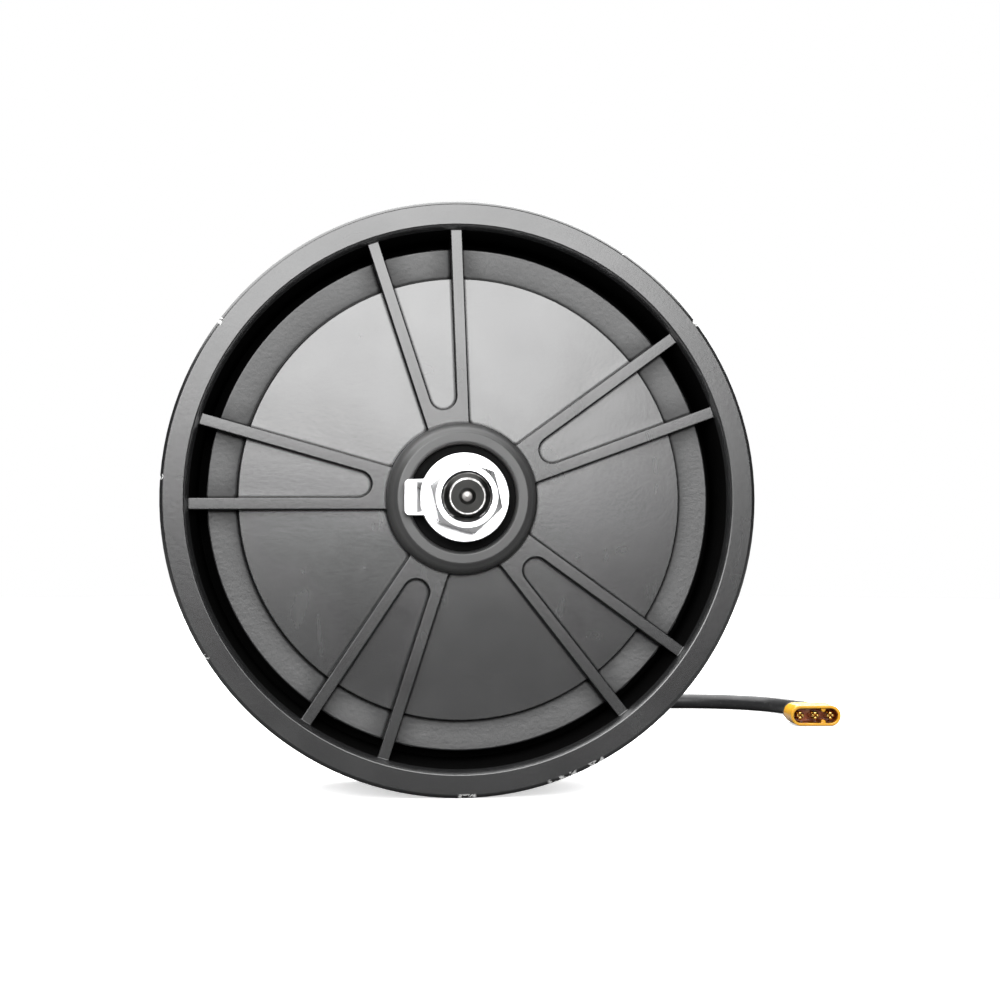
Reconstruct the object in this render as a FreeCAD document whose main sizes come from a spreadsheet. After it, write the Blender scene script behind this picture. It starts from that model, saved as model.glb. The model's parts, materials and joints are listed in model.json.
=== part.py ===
import FreeCAD, Part

import math
import os
import re

import Sketcher

# Hub motor wheel for a small scooter: an outrunner motor inside a cast aluminium rim.
# Frame: origin at the wheel's centre, +Z up, the wheel spins about Y. The closed face of the wheel
# looks along -Y. "Forward" below is the distance from the centre plane towards that face (minus Y).
# The side cover, the cable and the hollow end of the axle are on the +Y side.

Vector = FreeCAD.Vector
UP = Vector(0, 0, 1)
ORIGIN = Vector(0, 0, 0)
FULL_TURN = 360.0
AROUND_REAR = FreeCAD.Rotation(UP, 180)

DIMENSIONS = [
    # Rim and motor can, one casting
    ("rim_radius", 90.0, "outer radius of the rim flanges"),
    ("rim_reach", 26.0, "centre plane to the face of a flange"),
    ("flange_width", 5.0, "thickness of a flange"),
    ("flange_slope", 0.8, "draft on the tyre side of a flange"),
    ("edge_break", 0.9, "chamfer on the outer edge of a flange"),
    ("lip_radius", 82.9, "inner radius of the flat flange face"),
    ("lip_chamfer", 1.2, "chamfer inside the flange face"),
    ("seat_radius", 84.2, "radius of the tyre's bead seat"),
    ("well_radius", 83.2, "radius of the rim well"),
    ("well_reach", 11.0, "centre plane to the side of the well"),
    ("groove_radius", 79.5, "outer radius of the groove beside the can"),
    ("groove_draft", 0.4, "draft of both walls of the groove"),
    ("web_reach", 8.0, "centre plane to the floor of the groove"),
    ("can_radius", 76.6, "outer radius of the motor can"),
    ("can_bore", 70.6, "radius of the can's bore"),
    ("can_rear", 13.3, "centre plane to the open end of the can"),
    ("ceiling", 17.0, "centre plane to the inside of the closed face"),
    ("shoulder_foot", 18.3, "forward place of the shoulder at the foot of the disc"),
    ("shoulder_height", 18.95, "forward place of the shoulder's outer edge"),
    ("shoulder_round", 0.4, "round on the outer edge of the shoulder"),
    ("disc_radius", 67.0, "radius of the raised disc"),
    ("disc_edge", 21.5, "forward place of the disc at its edge"),
    ("disc_middle", 22.5, "forward place of the disc at the boss"),
    ("boss_radius", 23.0, "radius of the boss at its foot"),
    ("boss_bevel", 2.8, "size of the bevel round the boss"),
    ("crest_outer", 19.6, "outer radius of the boss's flat crest"),
    ("crest_height", 30.5, "forward place of the boss's crest"),
    ("mouth_round", 1.2, "round at the mouth of the boss"),
    ("hub_radius", 20.5, "radius of the bearing hub inside the motor"),
    ("hub_reach", 14.0, "centre plane to the inner end of a bearing hub"),
    # Ribs on the closed face
    ("rib_count", 5, "pairs of ribs"),
    ("rib_angle", 8.0, "angle of a rib to the middle of its pair"),
    ("rib_offset", 1.5, "distance of a rib's middle line from the wheel's centre"),
    ("rib_width", 3.5, "width of a rib"),
    ("rib_top", 24.5, "forward place of the top of a rib"),
    ("rib_reach", 82.6, "radius of the outer end of a rib"),
    ("rib_root", 17.5, "distance of the pair's root from the wheel's centre"),
    ("pocket_round", 4.1, "radius at the inner end of the pocket in a pair"),
    ("pair_turn", 100.2, "direction of the first pair from +X"),
    # Side cover and its screws
    ("cover_thickness", 4.5, "thickness of the cover's flange"),
    ("cover_disc", 64.0, "radius of the cover's raised disc"),
    ("spigot_radius", 70.5, "radius of the spigot that centres the cover"),
    ("spigot_bore", 68.0, "inner radius of the spigot"),
    ("spigot_length", 2.5, "length of the spigot"),
    ("gasket_thickness", 0.5, "thickness of the cover's gasket"),
    ("screw_count", 10, "cover screws"),
    ("screw_circle", 73.6, "radius of the screw circle"),
    ("screw_radius", 1.5, "M3 thread"),
    ("screw_clearance", 1.7, "radius of the holes in the cover"),
    ("screw_length", 9.5, "length under the head"),
    ("screw_head", 2.8, "radius of the head"),
    ("screw_head_height", 1.7, "height of the head"),
    ("screw_socket", 1.0, "half the socket across its flats"),
    ("screw_hole", 8.0, "depth of a tapped hole in the can"),
    # Bearings, 15 x 32 x 9
    ("bearing_bore", 7.5, "radius of the bearing's bore"),
    ("bearing_outer", 16.0, "radius of the bearing"),
    ("bearing_start", 16.5, "centre plane to the inner face of a bearing"),
    ("bearing_width", 9.0, "width of a bearing"),
    ("bearing_lip", 13.4, "radius inside the shoulder behind the bearing"),
    ("inner_race", 9.7, "outer radius of the inner race"),
    ("outer_race", 13.8, "inner radius of the outer race"),
    ("ball_pitch", 11.75, "radius of the ball circle"),
    ("ball_radius", 2.3, "radius of a ball"),
    ("race_groove", 2.6, "radius of the grooves in the races"),
    ("ball_count", 9, "balls in a bearing"),
    ("cage_inner", 11.1, "inner radius of the cage"),
    ("cage_outer", 12.4, "outer radius of the cage"),
    ("cage_half", 3.3, "half the width of the cage"),
    ("cage_pocket", 2.4, "radius of a pocket in the cage"),
    # Shaft seals
    ("seal_bore", 7.8, "inner radius of a shaft seal"),
    ("seal_start", 25.7, "centre plane to the inner face of a seal"),
    ("seal_width", 2.5, "width of a seal"),
    ("seal_lip", 1.1, "thickness of the seal's lip"),
    # Axle
    ("axle_seat", 9.5, "radius of the stator's seat"),
    ("axle_shoulder", 34.0, "centre plane to the shoulder for the washer"),
    ("axle_thread", 7.0, "M14 thread"),
    ("axle_reach", 46.0, "centre plane to an end of the axle"),
    ("axle_chamfer", 1.5, "length of the chamfer at an end"),
    ("axle_nose", 5.2, "radius of the axle's end face"),
    ("axle_flat", 5.76, "distance of the flat from the axis"),
    ("centre_drill", 2.44, "mouth radius of the centre drilling"),
    ("centre_drill_depth", 3.4, "depth of the centre drilling"),
    ("cable_bore", 4.0, "radius of the bore for the cable"),
    ("cable_bore_start", 8.6, "centre plane to the blind end of that bore"),
    ("cable_port", 3.3, "radius of the cross hole for the leads"),
    ("cable_port_place", 12.3, "centre plane to the cross hole"),
    # Tab washers and nuts
    ("washer_radius", 13.25, "outer radius of a tab washer"),
    ("washer_hole", 7.12, "radius of its hole"),
    ("washer_flat", 5.9, "distance of the hole's flat from the axis"),
    ("washer_thickness", 2.3, "thickness of the washer"),
    ("tab_tip", 17.8, "reach of the tab"),
    ("tab_half", 5.4, "half the width of the tab"),
    ("tab_joggle", 1.6, "set of the tab towards the wheel"),
    ("tab_bend_start", 12.6, "radius where the joggle starts"),
    ("tab_bend_end", 14.6, "radius where the joggle ends"),
    ("tab_round", 1.6, "round on the tab's corners"),
    ("nut_flats", 9.5, "half the nut across its flats"),
    ("nut_height", 8.0, "height of a nut"),
    ("nut_hole", 7.05, "radius of the nut's hole"),
    ("nut_mouth", 7.6, "radius of the chamfer in the nut's hole"),
    ("nut_crown", 9.1, "radius where the nut's corner chamfer starts"),
    ("nut_turn", 42.8, "direction of one corner of the nut from +X"),
    # Motor inside
    ("motor_middle", 1.85, "forward place of the middle of the stator"),
    ("flux_ring_bore", 67.4, "inner radius of the steel ring"),
    ("magnet_bore", 64.6, "inner radius of the magnets"),
    ("magnet_half", 11.0, "half the length of the magnets and the ring"),
    ("magnet_count", 30, "magnets"),
    ("magnet_gap", 1.4, "gap between two magnets, in degrees"),
    ("stator_radius", 64.0, "outer radius of the stator"),
    ("stack_half", 9.5, "half the length of the lamination stack"),
    ("stack_bore", 44.0, "bore of the stack"),
    ("yoke_radius", 50.0, "radius of the yoke"),
    ("tooth_count", 27, "teeth of the stator"),
    ("tooth_half", 2.3, "half the width of a tooth"),
    ("tip_start", 61.6, "radius where a tooth's tip starts"),
    ("tip_shoulder", 62.6, "radius of the tip's shoulder"),
    ("tip_half", 6.0, "half the width of a tooth's tip"),
    ("insulator", 0.8, "thickness of the end insulators"),
    ("insulator_bore", 45.0, "inner radius of the end insulators"),
    ("spider_rim", 39.5, "inner radius of the spider's rim"),
    ("spider_hub", 16.0, "radius of the spider's hub"),
    ("spider_web", 3.0, "half the thickness of the spider's web"),
    ("spider_hole", 7.5, "radius of a hole in the spider's web"),
    ("spider_hole_circle", 27.5, "radius of the circle of those holes"),
    ("spider_hole_count", 6, "holes in the spider's web"),
    ("coil_start", 51.0, "radius of the inner end of a coil"),
    ("coil_length", 10.0, "length of a coil along its tooth"),
    ("coil_room", 0.3, "room between a tooth and its coil"),
    ("coil_build", 2.5, "thickness of a coil"),
    ("coil_round", 1.2, "round on the outer corners of a coil"),
    ("board_inner", 50.5, "inner radius of the sensor board"),
    ("board_outer", 63.4, "outer radius of the sensor board"),
    ("board_thickness", 1.2, "thickness of the sensor board"),
    ("board_sweep", 47.0, "half the angle that the board covers"),
    ("sensor_half", 1.3, "half the width of a sensor"),
    ("sensor_depth", 1.5, "depth of a sensor"),
    ("sensor_length", 5.0, "length of a sensor"),
    ("lead_radius", 1.0, "radius of a phase lead"),
    ("lead_pitch", 2.1, "distance between two leads"),
    ("lead_bend", 3.0, "radius of a lead's bend into the axle"),
    # Cable
    ("cable_radius", 3.5, "radius of the cable"),
    ("boot_start", 38.0, "centre plane to the inner end of the boot"),
    ("boot_radius", 4.9, "radius of the boot's foot"),
    ("boot_end_radius", 3.9, "radius of the boot's outer end"),
    ("boot_end", 58.0, "centre plane to the outer end of the boot"),
    # Connector, a three-pin bullet plug
    ("plug_half_width", 10.65, "half the width of the shell"),
    ("plug_half_height", 4.3, "half the height of the shell"),
    ("plug_wall", 1.2, "wall of the shell"),
    ("plug_length", 18.0, "length of the shell"),
    ("plug_cavity", 10.0, "depth of the shell's cavity"),
    ("plug_key", 1.0, "radius of the keys in the cavity"),
    ("plug_key_gap", 1.65, "half the gap between the keys"),
    ("plug_back_length", 6.0, "length of the back shell"),
    ("plug_back_step", 0.45, "step from the shell down to the back shell"),
    ("plug_back_round", 1.5, "round on the back shell"),
    ("plug_boot_length", 12.0, "length of the sleeve on the cable"),
    ("plug_boot_radius", 4.1, "radius of that sleeve at the plug"),
    ("pin_radius", 1.75, "radius of a pin"),
    ("pin_root", 1.3, "radius of a pin's root in the shell"),
    ("pin_pitch", 6.45, "distance between two pins"),
    ("pin_reach", 8.5, "reach of a pin into the cavity"),
    ("pin_round", 0.7, "round on the end of a pin"),
    ("pin_slot", 0.4, "width of the cross cut in a pin"),
    ("pin_slot_depth", 4.2, "depth of that cut"),
    ("pin_slot_turn", 45.0, "angle of the cross cut"),
]
ALIASES = {name for name, _, _ in DIMENSIONS}

# Route of the motor cable, from the boot on the axle's rear end to the sleeve on the plug. It leaves
# straight along the axis, drops to the ground and lies there in a loose bend.
GROUND = -90.0
LYING = GROUND + 3.5
CABLE_ROUTE = [
    (0, 58, 0),
    (0, 88, 0),
    (0.5, 116, -12),
    (1.5, 136, -36),
    (4, 151, -63),
    (9, 169, -80),
    (19, 195, LYING),
    (34, 223, LYING),
    (55, 249, LYING),
    (80, 271, LYING),
    (108, 285, LYING),
    (136, 286, LYING),
    (160, 273.5, LYING),
    (173, 250, LYING),
    (171, 224, LYING + 1.1),
]
CORD_CORNER = 0.45

document = FreeCAD.newDocument("HubMotorWheel")
sheet = document.addObject("Spreadsheet::Sheet", "Dims")
nodes = []


def fill_sheet():
    for row, (name, size, note) in enumerate(DIMENSIONS, start=1):
        sheet.set(f"A{row}", name)
        sheet.set(f"B{row}", str(size))
        sheet.set(f"C{row}", note)
        sheet.setAlias(f"B{row}", name)
    document.recompute()


def bound(text):
    """An expression in which every alias refers to the sheet."""
    return re.sub(r"[a-z_]+", lambda word: "Dims." + word[0] if word[0] in ALIASES else word[0], text)


def size(text):
    """The number that an expression in the sheet's aliases stands for."""
    result = sheet.evalExpression(bound(text).replace("Dims.", ""))
    return float(getattr(result, "Value", result))


# Bodies, sketches and features


def new_body(label):
    body = document.addObject("PartDesign::Body", "Body_" + label)
    body.Label = label
    nodes.append(body)
    return body


def origin_part(body, role):
    return next(part for part in body.Origin.OriginFeatures if part.Role == role)


def new_sketch(body, name, plane, lift="0"):
    sketch = body.newObject("Sketcher::SketchObject", name)
    sketch.AttachmentSupport = [(origin_part(body, plane), "")]
    sketch.MapMode = "FlatFace"
    sketch.setExpression("AttachmentOffset.Base.z", bound(lift))
    return sketch


def pin_point(sketch, edge, end, place):
    """Ties a point of an edge to its place, given as two expressions."""
    for kind, axis, text in (("DistanceX", -2, place[0]), ("DistanceY", -1, place[1])):
        if abs(size(text)) < 1e-9:
            sketch.addConstraint(Sketcher.Constraint("PointOnObject", edge, end, axis))
            continue
        index = sketch.addConstraint(Sketcher.Constraint(kind, -1, 1, edge, end, size(text)))
        sketch.setExpression(f"Constraints[{index}]", bound(text))


def arc_between(start, end, radius, turn):
    """The short arc from start to end that turns left (turn 1) or right (turn -1)."""
    half = (end - start) * 0.5
    rise = math.sqrt(max(radius**2 - half.Length**2, 0.0))
    middle = start + half + Vector(-half.y, half.x, 0).normalize() * rise * turn
    first, last = (start, end) if turn > 0 else (end, start)
    angles = [math.atan2((p - middle).y, (p - middle).x) for p in (first, last)]
    if angles[1] < angles[0]:
        angles[1] += 2 * math.pi
    return Part.ArcOfCircle(Part.Circle(middle, UP, radius), *angles)


def outline(sketch, steps):
    """A closed outline. A step is (x, y), where a straight edge ends, or (x, y, radius, turn)."""
    points = [Vector(size(step[0]), size(step[1]), 0) for step in steps]
    edges = []
    for index, step in enumerate(steps):
        start, end = points[index - 1], points[index]
        if len(step) == 2:
            geometry = Part.LineSegment(start, end)
        else:
            geometry = arc_between(start, end, size(step[2]), step[3])
        edges.append(sketch.addGeometry(geometry, False))
    for index, step in enumerate(steps):
        following = steps[(index + 1) % len(steps)]
        last = 1 if len(step) > 2 and step[3] < 0 else 2
        first = 2 if len(following) > 2 and following[3] < 0 else 1
        edge, next_edge = edges[index], edges[(index + 1) % len(steps)]
        sketch.addConstraint(Sketcher.Constraint("Coincident", edge, last, next_edge, first))
        pin_point(sketch, edge, last, step)
        if len(step) > 2:
            radius = sketch.addConstraint(Sketcher.Constraint("Radius", edge, size(step[2])))
            sketch.setExpression(f"Constraints[{radius}]", bound(step[2]))


def circle(sketch, radius, x="0", y="0"):
    geometry = Part.Circle(Vector(size(x), size(y), 0), UP, size(radius))
    edge = sketch.addGeometry(geometry, False)
    pin_point(sketch, edge, 3, (x, y))
    index = sketch.addConstraint(Sketcher.Constraint("Radius", edge, size(radius)))
    sketch.setExpression(f"Constraints[{index}]", bound(radius))


def axial_sketch(body, name, steps):
    """A sketch beside the wheel's axis, with its steps given as (radius, forward)."""
    sketch = new_sketch(body, name, "XY_Plane")
    mirrored = [(s[0], f"-({s[1]})", *((s[2], -s[3]) if len(s) > 2 else ())) for s in steps]
    outline(sketch, mirrored)
    return sketch


def turn_profile(body, name, steps, kind="PartDesign::Revolution"):
    sketch = axial_sketch(body, name + "Profile", steps)
    feature = body.newObject(kind, name)
    feature.Profile = sketch
    feature.ReferenceAxis = (sketch, ["V_Axis"])
    feature.Angle = FULL_TURN
    document.recompute()


def pad(body, name, sketch, length, midplane=False):
    feature = body.newObject("PartDesign::Pad", name)
    feature.Profile = sketch
    feature.setExpression("Length", bound(length))
    feature.Midplane = midplane
    document.recompute()
    return feature


def pocket(body, name, sketch, depth, midplane=False):
    """Cuts backward from the sketch, and makes sure that it does cut."""
    before = body.Shape.Volume
    feature = body.newObject("PartDesign::Pocket", name)
    feature.Profile = sketch
    feature.setExpression("Length", bound(depth))
    feature.Midplane = midplane
    document.recompute()
    if not feature.Shape.Volume < before:
        raise RuntimeError(f"{body.Label}: {name} cuts nothing")
    return feature


def repeat_round(body, name, features, count):
    """Repeats features evenly about the wheel's axis."""
    pattern = body.newObject("PartDesign::PolarPattern", name)
    pattern.Originals = features
    pattern.Axis = (origin_part(body, "Y_Axis"), [""])
    pattern.Angle = FULL_TURN
    pattern.setExpression("Occurrences", bound(count))
    body.Tip = pattern
    document.recompute()


def tube(body, name, outer, inner, start, length):
    """A plain ring about the axis, from start forward."""
    sketch = new_sketch(body, name + "Section", "XZ_Plane", start)
    circle(sketch, outer)
    circle(sketch, inner)
    pad(body, name, sketch, length)


def round_edges(body, name, radius, wanted):
    """Fillets every edge for which wanted(edge) is true."""
    base = body.Tip
    names = [f"Edge{i}" for i, edge in enumerate(base.Shape.Edges, start=1) if wanted(edge)]
    if not names:
        raise RuntimeError(f"{body.Label}: {name} finds no edge")
    feature = body.newObject("PartDesign::Fillet", name)
    feature.Base = (base, names)
    feature.setExpression("Radius", bound(radius))
    document.recompute()
    return feature


# Rim casting


def rib_side(side, sign, distance):
    """How far a rib's edge is from the pair's middle, at a distance from the centre."""
    half = f"rib_offset + ({distance}) * tan(rib_angle)"
    return f"{sign}({half} {side} rib_width / 2 / cos(rib_angle))"


def rib_pair(body):
    """Two ribs that leave the boss together, with a round-ended pocket between them."""
    sketch = new_sketch(body, "RibPair", "XZ_Plane", "web_reach")
    sketch.setExpression("AttachmentOffset.Rotation.Angle", bound("pair_turn"))
    outer_end = "(rib_reach * cos(rib_angle + 2.2))"
    inner_end = "(rib_reach * cos(rib_angle - 0.4))"
    gap = "(rib_width / 2 / cos(rib_angle) - rib_offset)"
    middle = f"((pocket_round / cos(rib_angle) + {gap}) / tan(rib_angle))"
    touch = f"({middle} - pocket_round * sin(rib_angle))"
    side = "pocket_round * cos(rib_angle)"
    outline(
        sketch,
        [
            ("rib_root", rib_side("+", "", "rib_root")),
            ("rib_root", rib_side("+", "-", "rib_root")),
            (outer_end, rib_side("+", "-", outer_end)),
            (inner_end, rib_side("-", "-", inner_end)),
            (touch, f"-{side}"),
            (f"{middle} - pocket_round", "0", "pocket_round", -1),
            (touch, side, "pocket_round", -1),
            (inner_end, rib_side("-", "", inner_end)),
            (outer_end, rib_side("+", "", outer_end)),
        ],
    )
    return pad(body, "Ribs", sketch, "rib_top - web_reach")


def flange_steps(sign):
    """The rim's section from the groove's floor round a flange to the tyre's well."""
    steps = [
        ("groove_radius", "web_reach"),
        ("groove_radius + groove_draft", "shoulder_height"),
        ("lip_radius - lip_chamfer", "rim_reach - lip_chamfer"),
        ("lip_radius", "rim_reach"),
        ("rim_radius - edge_break", "rim_reach"),
        ("rim_radius", "rim_reach - edge_break"),
        ("rim_radius", "rim_reach - flange_width + flange_slope"),
        ("seat_radius + flange_slope", "rim_reach - flange_width"),
        ("seat_radius", "rim_reach - flange_width - flange_slope"),
        ("seat_radius", "well_reach + 2 * (seat_radius - well_radius)"),
        ("well_radius", "well_reach"),
    ]
    return steps if sign > 0 else [(radius, f"-({forward})") for radius, forward in reversed(steps)]


def make_wheel_casting():
    body = new_body("wheel_casting")
    steps = [
        ("bearing_lip", "hub_reach"),
        ("bearing_lip", "bearing_start"),
        ("bearing_outer", "bearing_start"),
        ("bearing_outer", "crest_height - mouth_round"),
        ("bearing_outer + mouth_round", "crest_height", "mouth_round", -1),
        ("crest_outer", "crest_height"),
        ("crest_outer + boss_bevel", "crest_height - boss_bevel"),
        ("boss_radius", "disc_middle"),
        ("disc_radius", "disc_edge"),
        ("disc_radius + 0.4", "shoulder_foot"),
        ("can_radius - shoulder_round", "shoulder_height"),
        ("can_radius", "shoulder_height - shoulder_round"),
        ("can_radius + groove_draft", "web_reach"),
        *flange_steps(1),
        *flange_steps(-1),
        ("can_radius + groove_draft", "-web_reach"),
        ("can_radius", "-can_rear"),
        ("can_bore", "-can_rear"),
        ("can_bore", "ceiling"),
        ("hub_radius", "ceiling"),
        ("hub_radius - 1", "hub_reach"),
    ]
    turn_profile(body, "Section", steps)
    repeat_round(body, "RibPattern", [rib_pair(body)], "rib_count")
    cavity = [
        ("bearing_lip", "hub_reach"),
        ("bearing_lip", "-can_rear"),
        ("can_bore", "-can_rear"),
        ("can_bore", "ceiling"),
        ("hub_radius", "ceiling"),
        ("hub_radius - 1", "hub_reach"),
    ]
    turn_profile(body, "MotorRoom", cavity, "PartDesign::Groove")
    drilling = new_sketch(body, "TappedHole", "XZ_Plane", "-can_rear + screw_hole")
    circle(drilling, "screw_radius", "0", "screw_circle")
    hole = pocket(body, "Drilling", drilling, "screw_hole")
    repeat_round(body, "Drillings", [hole], "screw_count")


# Side cover


def make_side_cover():
    """The rear cover, built facing forward and turned to the rear."""
    body = new_body("side_cover")
    flange = "(can_rear + gasket_thickness)"
    face = f"({flange} + cover_thickness)"
    steps = [
        ("bearing_lip", "hub_reach"),
        ("bearing_lip", "bearing_start"),
        ("bearing_outer", "bearing_start"),
        ("bearing_outer", "crest_height - mouth_round"),
        ("bearing_outer + mouth_round", "crest_height", "mouth_round", -1),
        ("crest_outer", "crest_height"),
        ("crest_outer + boss_bevel", "crest_height - boss_bevel"),
        ("boss_radius", "disc_middle"),
        ("cover_disc", "disc_edge"),
        ("cover_disc + 2", face),
        ("can_radius - 0.6", face),
        ("can_radius", f"{face} - 0.6"),
        ("can_radius", flange),
        ("spigot_radius", flange),
        ("spigot_radius", f"{flange} - spigot_length"),
        ("spigot_bore", f"{flange} - spigot_length"),
        ("spigot_bore", f"{flange} + 1.5"),
        ("cover_disc - 2", "ceiling"),
        ("hub_radius", "ceiling"),
        ("hub_radius - 1", "hub_reach"),
    ]
    turn_profile(body, "Section", steps)
    drilling = new_sketch(body, "ScrewHole", "XZ_Plane", face)
    circle(drilling, "screw_clearance", "0", "screw_circle")
    hole = pocket(body, "Drilling", drilling, "cover_thickness + 1")
    repeat_round(body, "Drillings", [hole], "screw_count")
    return body


def make_cover_gasket():
    body = new_body("cover_gasket")
    tube(body, "Ring", "can_radius - 0.3", "can_bore + 0.1", "can_rear", "gasket_thickness")
    drilling = new_sketch(body, "ScrewHole", "XZ_Plane", "can_rear + gasket_thickness")
    circle(drilling, "screw_clearance", "0", "screw_circle")
    hole = pocket(body, "Drilling", drilling, "gasket_thickness")
    repeat_round(body, "Drillings", [hole], "screw_count")
    return body


def make_cover_screws():
    """Button-head screws with a hexagon socket."""
    body = new_body("cover_screws")
    seat = "(can_rear + gasket_thickness + cover_thickness)"
    shank_sketch = new_sketch(body, "ShankSection", "XZ_Plane", f"{seat} - screw_length")
    circle(shank_sketch, "screw_radius", "0", "screw_circle")
    shank = pad(body, "Shank", shank_sketch, "screw_length")
    head_sketch = new_sketch(body, "HeadSection", "XZ_Plane", seat)
    circle(head_sketch, "screw_head", "0", "screw_circle")
    head = pad(body, "Head", head_sketch, "screw_head_height")
    socket_sketch = new_sketch(body, "SocketSection", "XZ_Plane", f"{seat} + screw_head_height")
    hexagon(socket_sketch, "screw_socket", "0", "screw_circle")
    socket = pocket(body, "Socket", socket_sketch, "screw_head_height * 0.7")
    repeat_round(body, "Screws", [shank, head, socket], "screw_count")
    return body


def hexagon(sketch, flats, x="0", y="0", turn="0"):
    """A hexagon from half its width across flats, with a corner in the direction turn."""
    corners = []
    for index in range(6):
        angle = f"({turn} + {60 * index})"
        corners.append(
            (
                f"{x} + {flats} / cos(30) * cos{angle}",
                f"{y} + {flats} / cos(30) * sin{angle}",
            )
        )
    outline(sketch, corners)


# Bearings and seals, made at the front; the rear ones are turned round


def make_outer_race(label):
    body = new_body(label)
    middle = "(bearing_start + bearing_width / 2)"
    depth = "(ball_pitch + race_groove - outer_race)"
    half = f"sqrt(race_groove * race_groove - (race_groove - {depth}) * (race_groove - {depth}))"
    steps = [
        ("outer_race", "bearing_start"),
        ("bearing_outer", "bearing_start"),
        ("bearing_outer", "bearing_start + bearing_width"),
        ("outer_race", "bearing_start + bearing_width"),
        ("outer_race", f"{middle} + {half}"),
        ("outer_race", f"{middle} - {half}", "race_groove", -1),
    ]
    turn_profile(body, "Section", steps)
    return body


def make_inner_race(label):
    body = new_body(label)
    middle = "(bearing_start + bearing_width / 2)"
    depth = "(inner_race - (ball_pitch - race_groove))"
    half = f"sqrt(race_groove * race_groove - (race_groove - {depth}) * (race_groove - {depth}))"
    steps = [
        ("bearing_bore", "bearing_start"),
        ("inner_race", "bearing_start"),
        ("inner_race", f"{middle} - {half}"),
        ("inner_race", f"{middle} + {half}", "race_groove", -1),
        ("inner_race", "bearing_start + bearing_width"),
        ("bearing_bore", "bearing_start + bearing_width"),
    ]
    turn_profile(body, "Section", steps)
    return body


def make_balls(label):
    body = new_body(label)
    ball = body.newObject("PartDesign::AdditiveSphere", "Ball")
    ball.setExpression("Radius", bound("ball_radius"))
    ball.AttachmentSupport = [(origin_part(body, "XY_Plane"), "")]
    ball.MapMode = "FlatFace"
    ball.setExpression("AttachmentOffset.Base.x", bound("ball_pitch"))
    ball.setExpression("AttachmentOffset.Base.y", bound("-(bearing_start + bearing_width / 2)"))
    document.recompute()
    repeat_round(body, "Balls", [ball], "ball_count")
    return body


def make_cage(label):
    body = new_body(label)
    middle = "(bearing_start + bearing_width / 2)"
    tube(body, "Band", "cage_outer", "cage_inner", f"{middle} - cage_half", "2 * cage_half")
    window = new_sketch(body, "Window", "YZ_Plane", "cage_outer + 1")
    circle(window, "cage_pocket", f"-{middle}")
    opening = pocket(body, "Opening", window, "cage_outer - cage_inner + 2")
    repeat_round(body, "Openings", [opening], "ball_count")
    return body


def make_shaft_seal(label):
    """A rubber ring with a thin lip that leans towards the shaft."""
    body = new_body(label)
    steps = [
        ("seal_bore", "seal_start + seal_width - seal_lip"),
        ("seal_bore + 1.2", "seal_start"),
        ("bearing_outer", "seal_start"),
        ("bearing_outer", "seal_start + seal_width"),
        ("seal_bore + 4", "seal_start + seal_width"),
        ("seal_bore + 2.8", "seal_start + seal_width - 0.6"),
        ("seal_bore + 1.2", "seal_start + seal_width"),
        ("seal_bore", "seal_start + seal_width"),
    ]
    turn_profile(body, "Section", steps)
    return body


# Axle and what is on its ends


def cut_flat(body, name, start):
    """The flat on an end's underside."""
    sketch = new_sketch(body, name + "Section", "XZ_Plane", start)
    outline(
        sketch,
        [
            ("-2 * axle_thread", "-2 * axle_thread"),
            ("2 * axle_thread", "-2 * axle_thread"),
            ("2 * axle_thread", "-axle_flat"),
            ("-2 * axle_thread", "-axle_flat"),
        ],
    )
    pocket(body, name, sketch, "axle_reach - axle_shoulder")


def make_axle():
    body = new_body("axle")
    front = [
        ("axle_seat", "bearing_start"),
        ("bearing_bore", "bearing_start"),
        ("bearing_bore", "axle_shoulder"),
        ("axle_thread", "axle_shoulder"),
        ("axle_thread", "axle_reach - axle_chamfer"),
        ("axle_nose", "axle_reach"),
    ]
    rear = [(radius, f"-({forward})") for radius, forward in reversed(front)]
    centre = [
        ("0", "-cable_bore_start"),
        ("0", "axle_reach - centre_drill_depth"),
        ("centre_drill", "axle_reach"),
    ]
    bore = [("cable_bore", "-axle_reach"), ("cable_bore", "-cable_bore_start")]
    turn_profile(body, "Section", [*centre, *reversed(front), *reversed(rear), *bore])
    cut_flat(body, "FrontFlat", "axle_reach")
    cut_flat(body, "RearFlat", "-axle_shoulder")
    port = new_sketch(body, "PortSection", "XY_Plane", "axle_seat + 1")
    circle(port, "cable_port", "0", "cable_port_place")
    pocket(body, "Port", port, "axle_seat + 1")


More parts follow.
